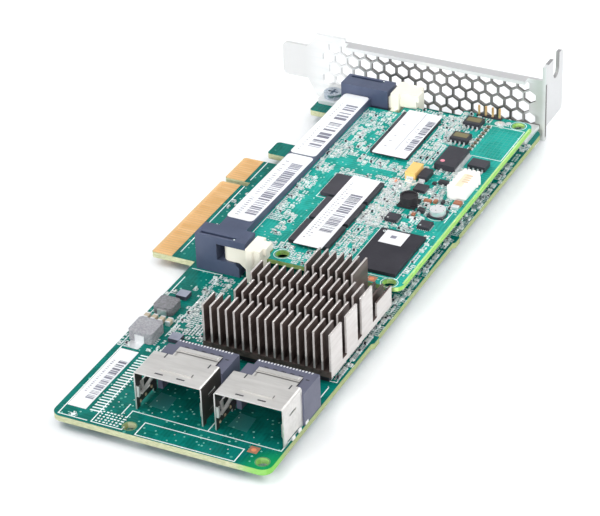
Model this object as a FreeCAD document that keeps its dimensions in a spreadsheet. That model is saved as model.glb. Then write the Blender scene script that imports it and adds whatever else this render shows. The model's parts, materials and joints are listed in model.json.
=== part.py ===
import FreeCAD, Part
import math
import os
from types import SimpleNamespace

import Sketcher

# A raid controller card: main board, bracket, heat sink, two cable receptacles and a
# cache module that lies in a side-entry socket with two hinged latches.
# Millimetres. X runs from the finger edge to the card's top edge, Y from the near end to
# the bracket, Z away from the component side. The origin is the key notch in the finger
# edge, on the component side. Places along Y are kept as distances from the near end, and
# those on the cache module as distances from the module's own near edge.

SIZE_TABLE = {
    # Main board
    "board_length": 167.65, "board_thick": 1.57, "board_top": 68.9, "board_base": 12.5,
    "key_from_end": 110.8, "key_width": 1.9, "key_depth": 7.6,
    "long_run": 38.65, "short_run": 11.65,
    "hook_gap": 4.4, "hook_length": 6.8, "foot_edge": 4.5, "foot_length": 13.45,
    "board_corner": 2.6, "foot_corner": 1.0, "finger_corner": 0.5,
    "stub_length": 4.0, "stub_height": 0.6, "stub_first": 57.0, "stub_second": 106.6,
    "mount_hole": 1.5, "hole_first_x": 32.0, "hole_second_x": 66.1, "hole_inset": 2.9,
    # Edge contacts
    "finger_pitch": 1.0, "finger_width": 0.7, "finger_length": 5.0, "finger_inset": 0.8,
    "finger_thick": 0.06, "finger_margin": 0.8, "long_fingers": 38, "short_fingers": 11,
    # Bracket
    "sheet": 1.0, "bracket_gap": 1.6, "plate_bottom": -3.8, "plate_width": 18.42,
    "plate_start": -0.2, "plate_end": 68.9, "tongue_tip": -10.8, "tongue_low": 1.2,
    "tongue_width": 10.16, "tongue_neck": -3.2, "ear_length": 8.8, "ear_height": 1.0,
    "lip_start": 10.0, "lip_end": 63.7, "lip_depth": 2.3,
    "vent_pitch": 3.81, "vent_wall": 0.5, "vent_start": 3.4, "vent_low": -1.05,
    "vents_full": 17, "vents_short": 16, "tongue_corner": 1.5,
    "flange_depth": 11.9, "flange_shift": 4.1, "flange_corner": 1.5,
    "notch_width": 4.4, "notch_centre": 6.8, "notch_depth": 6.6,
    "tab_start": 4.7, "tab_width": 6.8, "tab_reach": 10.6, "tab_corner": 1.2,
    "second_tab_start": 60.6, "screw_from_plate": 6.9,
    "screw_radius": 1.25, "screw_hole": 1.35, "screw_head": 2.6, "head_height": 1.5,
    "screw_past": 0.4, "cross_length": 3.0, "cross_width": 0.7, "cross_depth": 0.8,
    # Heat sink and the chip below it
    "sink_left": 34.0, "sink_near": 35.5, "sink_width": 33.8, "sink_length": 34.0,
    "sink_height": 12.0, "sink_base": 1.6, "fin_thick": 0.5, "fin_pitch": 2.07,
    "fin_count": 17, "cross_cut": 2.4, "cross_first": 6.1, "cross_pitch": 8.5,
    "cross_count": 3, "stub_fins": 3, "tall_fins": 7, "third_fins": 15, "stub_fin_height": 4.0,
    "chip_side": 31.0, "chip_thick": 1.8, "pad_side": 27.0, "pad_thick": 0.4,
    # Cable receptacles
    "cage_left": 30.1, "cage_near": 9.4, "cage_width": 17.6, "cage_depth": 9.5,
    "cage_height": 10.5, "cage_sheet": 0.35, "cage_pitch": 20.7, "cage_bend": 0.7,
    "slot_side": 4.9, "slot_gap": 5.6, "slot_length": 2.1, "slot_wide": 0.5, "slot_inset": 1.2,
    "bump_side": 5.4, "bump_length": 8.1, "bump_wide": 1.1, "bump_inset": 3.0,
    "bump_height": 0.3, "tongue_side": 4.6, "tongue_length": 3.6, "tongue_wide": 10.6,
    "leg_length": 1.6, "leg_height": 0.9, "window_length": 3.4, "window_height": 1.1,
    "window_low": 2.6, "window_rise": 3.6,
    "plug_width": 17.4, "plug_depth": 8.6, "plug_height": 8.7, "plug_side": 0.6,
    "plug_wall": 1.3, "plug_cavity": 5.4, "blade_low": 3.6, "blade_thick": 1.2,
    "blade_side": 3.2, "step_width": 1.6, "step_depth": 2.2,
    "tail_pitch": 0.8, "tail_width": 0.34, "tail_foot": 1.0, "tail_rise": 1.2,
    "tail_thick": 0.2, "tail_count": 18, "tail_side": 1.9,
    # Module socket and its latches
    "bar_left": 15.8, "bar_right": 23.4, "bar_height": 7.4, "tower_left": 14.3,
    "tower_right": 28.3, "tower_height": 10.3, "tower_depth": 5.85,
    "socket_centre": 114.8, "socket_half": 40.0, "slot_room": 0.05, "slot_reach": 3.6,
    "slot_past": 0.2, "pivot_x": 23.5, "pivot_inset": 3.2, "mouth_low": 3.8,
    "mouth_high": 8.4, "mouth_left": 3.3, "mouth_inner": 2.6, "sill_right": 26.4,
    "sill_slope": 1.4, "groove_left": 15.4, "groove_right": 25.2, "groove_inset": 0.75,
    "groove_width": 0.9, "groove_depth": 0.6, "boss_radius": 1.2, "boss_room": 0.05,
    "boss_length": 0.5, "arm_half": 2.0, "arm_room": 0.06, "arm_flare": 2.7,
    "arm_root": 1.6, "head_start": 5.6, "head_reach": 8.0, "head_inner": 2.9,
    "head_outer": 4.7, "head_low": 0.6, "head_high": 9.8, "head_corner": 0.8,
    "hook_start": 6.1, "hook_reach": 7.6, "hook_inner": 4.6,
    "thumb_far": 12.6, "thumb_near": 9.6, "thumb_inner": -0.3, "thumb_outer": 4.0,
    "thumb_low": 1.6, "grip_over": 1.6, "grip_room": 0.15, "ledge_reach": 0.8,
    "ledge_outer": 2.0, "ledge_low": 7.9, "socket_tail_pitch": 2.4,
    "socket_tail_width": 1.0, "socket_tail_foot": 0.9, "socket_tails": 32,
    # Cache module
    "module_low": 4.3, "module_thick": 1.2, "module_left": 20.0, "module_notch_x": 32.5,
    "module_overrun": 2.7, "module_notch": 4.4, "module_step_x": 48.5, "module_step": 3.5,
    "module_corner": 2.4, "module_hole": 1.65, "module_hole_x": 65.3,
    "module_hole_near": 1.6, "module_hole_far": 2.4, "module_hole_left": 35.4,
    "memory_side": 10.9, "memory_length": 10.8, "memory_thick": 1.1, "memory_x": 34.3,
    "memory_first": 8.8, "memory_pitch": 12.0, "memory_second": 58.1,
    "memory_second_pitch": 11.5, "buffer_x": 31.7, "buffer_length": 10.4,
    "store_x": 53.6, "store_y": 4.1, "store_side": 12.1, "store_length": 19.1,
    "store_thick": 1.0, "link_x": 53.4, "link_y": 56.7, "link_side": 5.8,
    "link_length": 10.4, "link_thick": 1.7, "driver_x": 51.5, "driver_y": 71.5,
    "driver_side": 4.9, "driver_length": 3.9, "driver_thick": 1.45, "driver_pitch": 9.1,
    "guard_x": 61.5, "guard_y": 59.9, "guard_side": 4.9, "guard_length": 3.9,
    "lead_width": 0.45, "lead_foot": 1.3, "lead_rise": 0.75, "lead_thick": 0.2,
    "lead_pitch": 1.27, "regulator_side": 3.3, "regulator_thick": 0.9,
    "regulator_a_x": 52.2, "regulator_a_y": 27.6, "regulator_b_x": 61.3,
    "regulator_b_y": 27.3, "regulator_c_x": 53.0, "regulator_c_y": 43.7,
    "choke_radius": 2.35, "choke_height": 2.8, "choke_x": 54.7, "choke_y": 37.6,
    "choke_plinth": 0.7, "choke_ring": 0.4,
    "can_radius": 2.1, "can_height": 1.9, "can_x": 63.6, "can_y": 35.5,
    "can_plinth": 0.6, "can_plinth_side": 4.4,
    "tantalum_x": 48.4, "tantalum_y": 49.1, "tantalum_side": 2.9,
    "tantalum_length": 5.6, "tantalum_height": 2.1, "cap_terminal": 0.9,
    "diode_x": 51.8, "diode_y": 49.5, "diode_side": 2.6, "diode_length": 4.6,
    "diode_height": 1.4, "battery_x": 62.0, "battery_y": 43.9, "battery_side": 5.4,
    "battery_length": 11.2, "battery_height": 3.0, "battery_wall": 1.3,
    "battery_well": 1.6, "battery_corner": 1.6, "key_block": 1.0,
    "pin_x": 53.2, "pin_from_far": 0.8, "pin_side": 0.5, "pin_height": 3.2,
    "pin_pitch": 2.0, "pin_count": 4, "strip_height": 0.4, "strip_margin": 0.6,
    # Power parts on the main board
    "coil_x": 14.2, "coil_y": 33.8, "coil_side": 6.6, "coil_height": 2.9,
    "coil_corner": 0.9, "coil_foot": 0.8, "coil_foot_width": 2.6, "coil_foot_height": 2.0,
    "small_coil_x": 14.0, "small_coil_y": 46.5, "small_coil_side": 5.3,
    "small_coil_height": 2.2, "power_chip_a_x": 16.2, "power_chip_a_y": 54.3,
    "power_chip_b_x": 23.6, "power_chip_b_y": 36.7, "power_chip_side": 2.9,
    "power_chip_thick": 1.1, "cap_x": 13.4, "cap_y": 42.6, "cap_pitch": 2.05,
    "cap_side": 1.25, "cap_length": 2.2, "cap_height": 1.2, "cap_count": 4,
    "cap_end": 0.45, "between_x": 48.9, "between_y": 19.6, "between_side": 1.6,
    "between_length": 5.6, "between_height": 1.6,
    # Paper labels
    "paper": 0.1, "label_x": 14.5, "label_y": 4.7, "label_side": 4.9, "label_length": 25.1,
    "bar_label_x": 15.7, "bar_label_y": 83.3, "bar_label_side": 7.6,
    "bar_label_length": 35.3, "bar_label_gap": 0.6, "memory_label_x": 35.6,
    "memory_label_side": 9.0, "memory_label_margin": 1.3, "store_label_x": 55.5,
    "store_label_y": 16.5, "store_label_side": 6.2, "store_label_length": 6.0,
}

doc = FreeCAD.newDocument("raid_controller_card")
sheet = doc.addObject("Spreadsheet::Sheet", "Sizes")


class Size:
    """A number that keeps the sheet formula it was worked out from."""

    def __init__(self, value, text=None):
        self.value = float(value)
        self.text = "(%.6f)" % value if text is None else text

    def join(self, other, sign, value):
        return Size(value, "(%s %s %s)" % (self.text, sign, other.text))

    def __add__(self, other):
        other = as_size(other)
        return self.join(other, "+", self.value + other.value)

    def __sub__(self, other):
        other = as_size(other)
        return self.join(other, "-", self.value - other.value)

    def __mul__(self, other):
        other = as_size(other)
        return self.join(other, "*", self.value * other.value)

    def __truediv__(self, other):
        other = as_size(other)
        return self.join(other, "/", self.value / other.value)

    def __neg__(self):
        return as_size(0) - self

    def __radd__(self, other):
        return as_size(other) + self

    def __rsub__(self, other):
        return as_size(other) - self

    def __rmul__(self, other):
        return as_size(other) * self


def as_size(number):
    return number if isinstance(number, Size) else Size(number)


def fill_sheet():
    named = SimpleNamespace()
    for row, (name, value) in enumerate(SIZE_TABLE.items(), start=1):
        sheet.set("A%d" % row, name)
        sheet.set("B%d" % row, str(value))
        sheet.setAlias("B%d" % row, name)
        setattr(named, name, Size(value, "Sizes." + name))
    doc.recompute()
    return named


s = fill_sheet()
nodes = []


def along(distance):
    """Y of a place given as its distance from the board's near end."""
    return distance - s.key_from_end


def on_module(distance):
    """Y of a place given as its distance from the module's near edge."""
    return module_near_y + distance


def bind(thing, path, size):
    thing.setExpression(path, as_size(size).text)


def keep(thing, label):
    """Name a finished piece and list it for writing."""
    thing.Label = label
    nodes.append(thing)
    return thing


def place(thing, x=0, y=0, z=0):
    for axis, size in zip("xyz", (x, y, z)):
        bind(thing, "Placement.Base." + axis, size)


# Plain solids

def box(name, x, y, z, length, width, height):
    solid = doc.addObject("Part::Box", name)
    for path, size in (("Length", length), ("Width", width), ("Height", height)):
        bind(solid, path, size)
    place(solid, x, y, z)
    return solid


def cylinder(name, x, y, z, radius, height):
    solid = doc.addObject("Part::Cylinder", name)
    bind(solid, "Radius", radius)
    bind(solid, "Height", height)
    place(solid, x, y, z)
    return solid


def group(label, solids):
    together = doc.addObject("Part::Compound", label)
    together.Links = solids
    return keep(together, label)


def cut(name, base, tool):
    result = doc.addObject("Part::Cut", name)
    result.Base = base
    result.Tool = tool
    return result


def fuse(name, solids):
    result = doc.addObject("Part::MultiFuse", name)
    result.Shapes = solids
    return result


# Bodies with sketches

def new_body(label):
    body = doc.addObject("PartDesign::Body", label)
    if hasattr(body, "AllowCompound"):
        body.AllowCompound = True
    return keep(body, label)


def origin_feature(body, role):
    return next(item for item in body.Origin.OriginFeatures if item.Role == role)


def rectangle(x0, y0, x1, y1):
    return [(x0, y0), (x1, y0), (x1, y1), (x0, y1)]


def pin_point(sketch, curve, position, x, y):
    """Hold one point of a curve at bound distances from the sketch's origin."""
    for kind, size in (("DistanceX", as_size(x)), ("DistanceY", as_size(y))):
        number = sketch.addConstraint(Sketcher.Constraint(kind, -1, 1, curve, position, size.value))
        sketch.setExpression("Constraints[%d]" % number, size.text)


def draw_outline(sketch, points):
    first = sketch.GeometryCount
    corners = [FreeCAD.Vector(as_size(x).value, as_size(y).value, 0) for x, y in points]
    count = len(corners)
    for index in range(count):
        line = Part.LineSegment(corners[index], corners[(index + 1) % count])
        sketch.addGeometry(line, False)
    for index in range(count):
        following = first + (index + 1) % count
        sketch.addConstraint(Sketcher.Constraint("Coincident", first + index, 2, following, 1))
    for index, (x, y) in enumerate(points):
        pin_point(sketch, first + index, 1, x, y)


def draw_circle(sketch, x, y, radius):
    centre = FreeCAD.Vector(as_size(x).value, as_size(y).value, 0)
    circle = Part.Circle(centre, FreeCAD.Vector(0, 0, 1), as_size(radius).value)
    curve = sketch.addGeometry(circle, False)
    pin_point(sketch, curve, 3, x, y)
    number = sketch.addConstraint(Sketcher.Constraint("Radius", curve, as_size(radius).value))
    sketch.setExpression("Constraints[%d]" % number, as_size(radius).text)


def new_sketch(body, name, role, offset, outlines=(), circles=()):
    """A sketch on one of the body's own planes, moved along the plane's normal."""
    sketch = body.newObject("Sketcher::SketchObject", name)
    sketch.AttachmentSupport = [(origin_feature(body, role), "")]
    sketch.MapMode = "FlatFace"
    bind(sketch, "AttachmentOffset.Base.z", offset)
    for points in outlines:
        draw_outline(sketch, points)
    for x, y, radius in circles:
        draw_circle(sketch, x, y, radius)
    return sketch


def finish_feature(body, feature):
    """Work the feature out, and stop at once if it fails."""
    body.Tip = feature
    doc.recompute()
    if "Invalid" in feature.State:
        raise RuntimeError(feature.Name + " fails: " + feature.getStatusString())
    return feature


def pad(body, sketch, length, reverse=False):
    feature = body.newObject("PartDesign::Pad", sketch.Name + "_pad")
    feature.Profile = sketch
    bind(feature, "Length", length)
    feature.Reversed = reverse
    return finish_feature(body, feature)


def pocket(body, sketch, length, reverse=False):
    before = body.Shape.Volume
    feature = body.newObject("PartDesign::Pocket", sketch.Name + "_pocket")
    feature.Profile = sketch
    bind(feature, "Length", length)
    feature.Reversed = reverse
    feature.Refine = False
    finish_feature(body, feature)
    if not body.Shape.Volume < before:
        raise RuntimeError(feature.Name + " cuts nothing")
    return feature


def repeat(body, feature, axis, pitch, count):
    pattern = body.newObject("PartDesign::LinearPattern", feature.Name + "_row")
    pattern.Originals = [feature]
    pattern.Refine = False
    pattern.Direction = (origin_feature(body, axis), [""])
    bind(pattern, "Length", pitch * (count - 1))
    bind(pattern, "Occurrences", count)
    return finish_feature(body, pattern)


def edges_along(shape, axis, places, tolerance=0.02):
    """Names of straight edges parallel to an axis that pass through the given places."""
    others = [name for name in "xyz" if name != axis]
    names = []
    for number, edge in enumerate(shape.Edges, start=1):
        if len(edge.Vertexes) != 2 or not isinstance(edge.Curve, Part.Line):
            continue
        start, end = (vertex.Point for vertex in edge.Vertexes)
        if any(abs(getattr(start, o) - getattr(end, o)) > tolerance for o in others):
            continue
        for where in places:
            gaps = [abs(getattr(start, o) - as_size(w).value) for o, w in zip(others, where)]
            if max(gaps) < tolerance:
                names.append("Edge%d" % number)
                break
    return names


def round_edges(body, name, axis, places, radius, kind="Fillet"):
    base = body.Tip
    names = edges_along(base.Shape, axis, places)
    if not names:
        raise RuntimeError(name + " finds no edges")
    feature = body.newObject("PartDesign::" + kind, name)
    feature.Base = (base, names)
    bind(feature, "Radius" if kind == "Fillet" else "Size", radius)
    return finish_feature(body, feature)


# Places that several pieces share

near_end = along(0)
far_end = along(s.board_length)
long_run_end = -(s.key_width / 2)
long_run_start = long_run_end - s.long_run
short_run_start = s.key_width / 2
short_run_end = short_run_start + s.short_run
hook_start = short_run_end + s.hook_gap
hook_end = hook_start + s.hook_length
foot_start = far_end - s.foot_length
plate_inner = far_end + s.bracket_gap
plate_outer = plate_inner + s.sheet
plate_top = s.plate_bottom + s.plate_width
screw_y = plate_inner - s.screw_from_plate
tab_screws = [s.tab_start + s.tab_width / 2, s.second_tab_start + s.tab_width / 2]
module_top = s.module_low + s.module_thick
socket_middle = along(s.socket_centre)
module_half = s.socket_half + s.module_overrun
module_near_y = socket_middle - module_half
module_far_y = socket_middle + module_half
sink_low = s.chip_thick + s.pad_thick
sink_base_top = sink_low + s.sink_base
sink_top = sink_low + s.sink_height


def main_board():
    body = new_body("main_board")
    stubs = []
    for middle in (s.stub_first, s.stub_second):
        low = along(middle) - s.stub_length / 2
        high = along(middle) + s.stub_length / 2
        proud = s.board_top + s.stub_height
        stubs += [(s.board_top, low), (proud, low + s.stub_height),
                  (proud, high - s.stub_height), (s.board_top, high)]
    outline = [(s.board_base, near_end), (s.board_top, near_end)] + stubs + [
        (s.board_top, far_end), (s.foot_edge, far_end), (s.foot_edge, foot_start),
        (s.board_base, foot_start), (s.board_base, hook_end), (s.foot_edge, hook_end),
        (s.foot_edge, hook_start), (s.board_base, hook_start), (s.board_base, short_run_end),
        (0, short_run_end), (0, short_run_start), (s.key_depth, short_run_start),
        (s.key_depth, long_run_end), (0, long_run_end), (0, long_run_start),
        (s.board_base, long_run_start)]
    pad(body, new_sketch(body, "board_outline", "XY_Plane", 0, [outline]), s.board_thick, True)
    holes = [(x, near_end + s.hole_inset, s.mount_hole) for x in (s.hole_first_x, s.hole_second_x)]
    holes += [(x, screw_y, s.screw_hole) for x in tab_screws]
    pocket(body, new_sketch(body, "board_holes", "XY_Plane", 0, circles=holes), s.board_thick)
    round_edges(body, "board_corners", "z",
                [(s.board_base, near_end), (s.board_top, near_end), (s.board_top, far_end)],
                s.board_corner)
    round_edges(body, "foot_corners", "z",
                [(s.foot_edge, far_end), (s.foot_edge, foot_start), (s.foot_edge, hook_end),
                 (s.foot_edge, hook_start)], s.foot_corner)
    round_edges(body, "finger_corners", "z",
                [(0, short_run_end), (0, short_run_start), (0, long_run_end),
                 (0, long_run_start)], s.finger_corner, "Chamfer")


def edge_contacts():
    body = new_body("edge_contacts")
    runs = (("long", long_run_start, s.long_fingers), ("short", short_run_start, s.short_fingers))
    sides = (("front", 0, False), ("back", -s.board_thick, True))
    for run, start, count in runs:
        for side, height, reverse in sides:
            first = start + s.finger_margin - s.finger_width / 2
            pads = rectangle(s.finger_inset, first, s.finger_inset + s.finger_length,
                             first + s.finger_width)
            sketch = new_sketch(body, "contact_%s_%s" % (run, side), "XY_Plane", height, [pads])
            feature = pad(body, sketch, s.finger_thick, reverse)
            repeat(body, feature, "Y_Axis", s.finger_pitch, count)


def hexagon(x, z, across):
    """A pointed-top hexagon of a given width between its upright sides."""
    radius = across / math.sqrt(3)
    corners = []
    for step in range(6):
        angle = math.radians(60 * step + 30)
        corners.append((x + radius * math.cos(angle), z + radius * math.sin(angle)))
    return corners


def bracket():
    body = new_body("bracket")
    tongue_top = s.tongue_low + s.tongue_width
    outline = [(s.tongue_tip, s.tongue_low), (s.tongue_neck, s.tongue_low),
               (s.plate_start, s.plate_bottom), (s.plate_end, s.plate_bottom),
               (s.plate_end, plate_top), (s.ear_length, plate_top),
               (s.ear_length, plate_top + s.ear_height),
               (s.plate_start, plate_top + s.ear_height), (s.plate_start, plate_top),
               (s.tongue_neck, tongue_top), (s.tongue_tip, tongue_top)]
    pad(body, new_sketch(body, "plate", "XZ_Plane", -plate_outer, [outline]), s.sheet)
    round_edges(body, "tongue_corners", "y",
                [(s.tongue_tip, s.tongue_low), (s.tongue_tip, tongue_top)], s.tongue_corner)
    lip = rectangle(s.lip_start, plate_top - s.sheet, s.lip_end, plate_top)
    pad(body, new_sketch(body, "lip", "XZ_Plane", -plate_outer, [lip]), s.sheet + s.lip_depth)
    flange_end = plate_outer + s.flange_depth
    flange_low = s.plate_bottom + s.flange_shift
    flange_top = plate_top + s.flange_shift
    flange = rectangle(plate_inner, flange_low, flange_end, flange_top)
    pad(body, new_sketch(body, "flange", "YZ_Plane", s.plate_end - s.sheet, [flange]), s.sheet)
    middle = plate_outer + s.notch_centre
    slot = rectangle(middle - s.notch_width / 2, flange_top - s.notch_depth,
                     middle + s.notch_width / 2, flange_top)
    pocket(body, new_sketch(body, "screw_notch", "YZ_Plane", s.plate_end, [slot]), s.sheet)
    round_edges(body, "notch_round", "x",
                [(middle - s.notch_width / 2, flange_top - s.notch_depth),
                 (middle + s.notch_width / 2, flange_top - s.notch_depth)],
                s.notch_width / 2 - 0.02)
    round_edges(body, "flange_corners", "x",
                [(flange_end, flange_low), (flange_end, flange_top)], s.flange_corner)
    tabs = [rectangle(start, plate_inner - s.tab_reach, start + s.tab_width, plate_outer)
            for start in (s.tab_start, s.second_tab_start)]
    pad(body, new_sketch(body, "tabs", "XY_Plane", 0, tabs), s.sheet)
    tab_near = plate_inner - s.tab_reach
    round_edges(body, "tab_corners", "z",
                [(start + s.tab_width * side, tab_near) for side in (0, 1)
                 for start in (s.tab_start, s.second_tab_start)], s.tab_corner)
    holes = [(x, screw_y, s.screw_hole) for x in tab_screws]
    pocket(body, new_sketch(body, "tab_holes", "XY_Plane", s.sheet, circles=holes), s.sheet)
    across = s.vent_pitch - s.vent_wall
    row_rise = s.vent_pitch * (math.sqrt(3) / 2)
    for row in range(5):
        odd = row % 2
        count = s.vents_full if odd else s.vents_short
        x = s.vent_start + s.vent_pitch / 2 * (1 - odd)
        z = s.vent_low + row_rise * row
        sketch = new_sketch(body, "vent_%d" % row, "XZ_Plane", -plate_outer, [hexagon(x, z, across)])
        repeat(body, pocket(body, sketch, s.sheet, True), "X_Axis", s.vent_pitch, count)


def bracket_screws():
    screws = []
    for index, x in enumerate(tab_screws):
        shank_low = -s.board_thick - s.screw_past
        shank = cylinder("shank_%d" % index, x, screw_y, shank_low, s.screw_radius,
                         s.sheet - shank_low)
        head = cylinder("head_%d" % index, x, screw_y, s.sheet, s.screw_head, s.head_height)
        slot_z = s.sheet + s.head_height - s.cross_depth
        bars = [box("cross_%d_a" % index, x - s.cross_length / 2, screw_y - s.cross_width / 2,
                    slot_z, s.cross_length, s.cross_width, s.cross_depth),
                box("cross_%d_b" % index, x - s.cross_width / 2, screw_y - s.cross_length / 2,
                    slot_z, s.cross_width, s.cross_length, s.cross_depth)]
        whole = fuse("screw_%d" % index, [shank, head])
        screws.append(cut("driven_%d" % index, whole, fuse("drive_%d" % index, bars)))
    group("bracket_screws", screws)


def heat_sink():
    body = new_body("heat_sink")
    near = along(s.sink_near)
    far = near + s.sink_length
    right = s.sink_left + s.sink_width
    base = rectangle(s.sink_left, near, right, far)
    pad(body, new_sketch(body, "sink_base", "XY_Plane", sink_low, [base]), s.sink_base)
    fin = rectangle(right - s.fin_thick, near, right, far)
    fin_height = s.sink_height - s.sink_base
    feature = pad(body, new_sketch(body, "fin", "XY_Plane", sink_base_top, [fin]), fin_height)
    row = repeat(body, feature, "X_Axis", s.fin_pitch, s.fin_count)
    row.Reversed = True
    doc.recompute()
    over = s.fin_pitch
    first = near + s.cross_first
    channel = rectangle(s.sink_left - over, first, right + over, first + s.cross_cut)
    feature = pocket(body, new_sketch(body, "channel", "XY_Plane", sink_top, [channel]), fin_height)
    repeat(body, feature, "Y_Axis", s.cross_pitch, s.cross_count)

    def gap_left_of(fins):
        """X of the middle of the gap after a number of fins, counted from the right."""
        return right - s.fin_thick - s.fin_pitch * (fins - 1) - (s.fin_pitch - s.fin_thick) / 2

    last_row = first + s.cross_pitch * 2 + s.cross_cut / 2
    third_row = last_row - s.cross_pitch
    second_row = third_row - s.cross_pitch
    bare = rectangle(s.sink_left - over, last_row, gap_left_of(s.stub_fins + s.tall_fins),
                     far + over)
    low_rows = rectangle(s.sink_left - over, second_row, gap_left_of(s.third_fins), last_row)
    pocket(body, new_sketch(body, "bare_corner", "XY_Plane", sink_top, [bare]), fin_height)
    pocket(body, new_sketch(body, "bare_side", "XY_Plane", sink_top, [low_rows]), fin_height)
    stubs = rectangle(gap_left_of(s.stub_fins), last_row, right + over, far + over)
    pocket(body, new_sketch(body, "stub_corner", "XY_Plane", sink_top, [stubs]),
           fin_height - s.stub_fin_height)


def chip_below_sink():
    middle_x = s.sink_left + s.sink_width / 2
    middle_y = along(s.sink_near) + s.sink_length / 2
    half = s.chip_side / 2
    keep(box("controller_chip", middle_x - half, middle_y - half, 0, s.chip_side, s.chip_side,
             s.chip_thick), "controller_chip")
    half = s.pad_side / 2
    keep(box("thermal_pad", middle_x - half, middle_y - half, s.chip_thick, s.pad_side,
             s.pad_side, s.pad_thick), "thermal_pad")


def cable_cage(label, index):
    body = new_body(label)
    place(body, s.cage_left + s.cage_pitch * index, along(s.cage_near), 0)
    wide, high, thin = s.cage_width, s.cage_height, s.cage_sheet
    fold = [(0, 0), (thin, 0), (thin, high - thin), (wide - thin, high - thin), (wide - thin, 0),
            (wide, 0), (wide, high), (0, high)]
    pad(body, new_sketch(body, label + "_fold", "XZ_Plane", -s.cage_depth, [fold]), s.cage_depth)
    round_edges(body, label + "_bends", "y", [(0, high), (wide, high)], s.cage_bend)
    slots = [rectangle(start, s.slot_inset, start + s.slot_length, s.slot_inset + s.slot_wide)
             for start in (s.slot_side, s.slot_side + s.slot_gap)]
    pocket(body, new_sketch(body, label + "_slots", "XY_Plane", high, slots), thin)
    bump = rectangle(s.bump_side, s.bump_inset, s.bump_side + s.bump_length,
                     s.bump_inset + s.bump_wide)
    pad(body, new_sketch(body, label + "_bump", "XY_Plane", high, [bump]), s.bump_height)
    low = s.plug_height
    rear = s.cage_depth
    riser = [(rear - thin, low), (rear + s.tongue_length, low), (rear + s.tongue_length, low + thin),
             (rear, low + thin), (rear, high), (rear - thin, high)]
    pad(body, new_sketch(body, label + "_tongue", "YZ_Plane", s.tongue_side, [riser]), s.tongue_wide)
    under = rectangle(s.leg_length, 0, rear - s.leg_length, s.leg_height)
    pocket(body, new_sketch(body, label + "_feet", "YZ_Plane", wide, [under]), wide)
    middle = rear / 2
    windows = [rectangle(middle - s.window_length / 2, z, middle + s.window_length / 2,
                         z + s.window_height) for z in (s.window_low, s.window_low + s.window_rise)]
    pocket(body, new_sketch(body, label + "_windows", "YZ_Plane", wide, windows), wide)


def cable_plug_housing(label, index):
    body = new_body(label)
    place(body, s.cage_left + s.cage_pitch * index + s.plug_side,
          along(s.cage_near) + s.cage_depth, 0)
    wide, deep, high = s.plug_width, s.plug_depth, s.plug_height
    outline = [(0, 0), (wide, 0), (wide, deep), (s.step_width, deep),
               (s.step_width, deep - s.step_depth), (0, deep - s.step_depth)]
    pad(body, new_sketch(body, label + "_outline", "XY_Plane", 0, [outline]), high)
    cavity = rectangle(s.plug_wall, 0, wide - s.plug_wall, high - s.plug_wall)
    pocket(body, new_sketch(body, label + "_cavity", "XZ_Plane", 0, [cavity]), s.plug_cavity)
    blade = rectangle(s.blade_side, s.blade_low, wide - s.blade_side, s.blade_low + s.blade_thick)
    sketch = new_sketch(body, label + "_blade", "XZ_Plane", -s.plug_cavity, [blade])
    pad(body, sketch, s.plug_cavity - s.cage_sheet)


def cable_contacts(label, index):
    body = new_body(label)
    start = s.cage_left + s.cage_pitch * index + s.plug_side + s.tail_side
    place(body, start, along(s.cage_near) + s.cage_depth + s.plug_depth, 0)
    bent = [(0, 0), (s.tail_foot, 0), (s.tail_foot, s.tail_thick), (s.tail_thick, s.tail_thick),
            (s.tail_thick, s.tail_rise), (0, s.tail_rise)]
    feature = pad(body, new_sketch(body, label + "_tail", "YZ_Plane", 0, [bent]), s.tail_width)
    repeat(body, feature, "X_Axis", s.tail_pitch, s.tail_count)


def tower_inner(side):
    """Y of a tower's face towards the module; side is -1 for the near end and 1 for the far."""
    return socket_middle + s.socket_half * side


def tower_outer(side):
    return tower_inner(side) + s.tower_depth * side


def pivot_y(side):
    return tower_inner(side) + s.pivot_inset * side


def tower(body, side, name):
    """An end tower with a groove on top, a mouth for the latch arm and a lower sill."""
    outer = tower_outer(side)
    outline = rectangle(s.tower_left, tower_inner(side), s.tower_right, outer)
    pad(body, new_sketch(body, "tower_" + name, "XY_Plane", 0, [outline]), s.tower_height)
    groove_start = outer - s.groove_inset * side
    groove = rectangle(s.groove_left, groove_start, s.groove_right,
                       groove_start - s.groove_width * side)
    pocket(body, new_sketch(body, "groove_" + name, "XY_Plane", s.tower_height, [groove]),
           s.groove_depth)
    mouth_wall = pivot_y(side) - s.mouth_inner * side
    mouth = rectangle(s.pivot_x - s.mouth_left, mouth_wall, s.tower_right, outer)
    pocket(body, new_sketch(body, "mouth_" + name, "XY_Plane", s.mouth_high, [mouth]),
           s.mouth_high - s.mouth_low)
    sill = [(s.sill_right - s.sill_slope, s.mouth_low), (s.tower_right, s.mouth_low),
            (s.tower_right, 0), (s.sill_right, 0), (s.sill_right, s.mouth_low - s.sill_slope)]
    mouth_depth = s.tower_depth - s.pivot_inset + s.mouth_inner
    pocket(body, new_sketch(body, "sill_" + name, "XZ_Plane", -outer, [sill]), mouth_depth,
           side > 0)
    reach = s.boss_length + s.boss_room
    hole = (s.pivot_x, pivot_y(side), s.boss_radius + s.boss_room)
    sketch = new_sketch(body, "boss_hole_" + name, "XY_Plane", s.mouth_high + reach,
                        circles=[hole])
    pocket(body, sketch, s.mouth_high - s.mouth_low + 2 * reach)


def socket_housing():
    body = new_body("socket_housing")
    bar = rectangle(s.bar_left, tower_inner(-1), s.bar_right, tower_inner(1))
    pad(body, new_sketch(body, "bar", "XY_Plane", 0, [bar]), s.bar_height)
    tower(body, -1, "near")
    tower(body, 1, "far")
    slot_half = module_half - s.module_notch + s.slot_past
    slot = rectangle(socket_middle - slot_half, s.module_low - s.slot_room,
                     socket_middle + slot_half, module_top + s.slot_room)
    pocket(body, new_sketch(body, "card_slot", "YZ_Plane", s.bar_right, [slot]), s.slot_reach)


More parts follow.
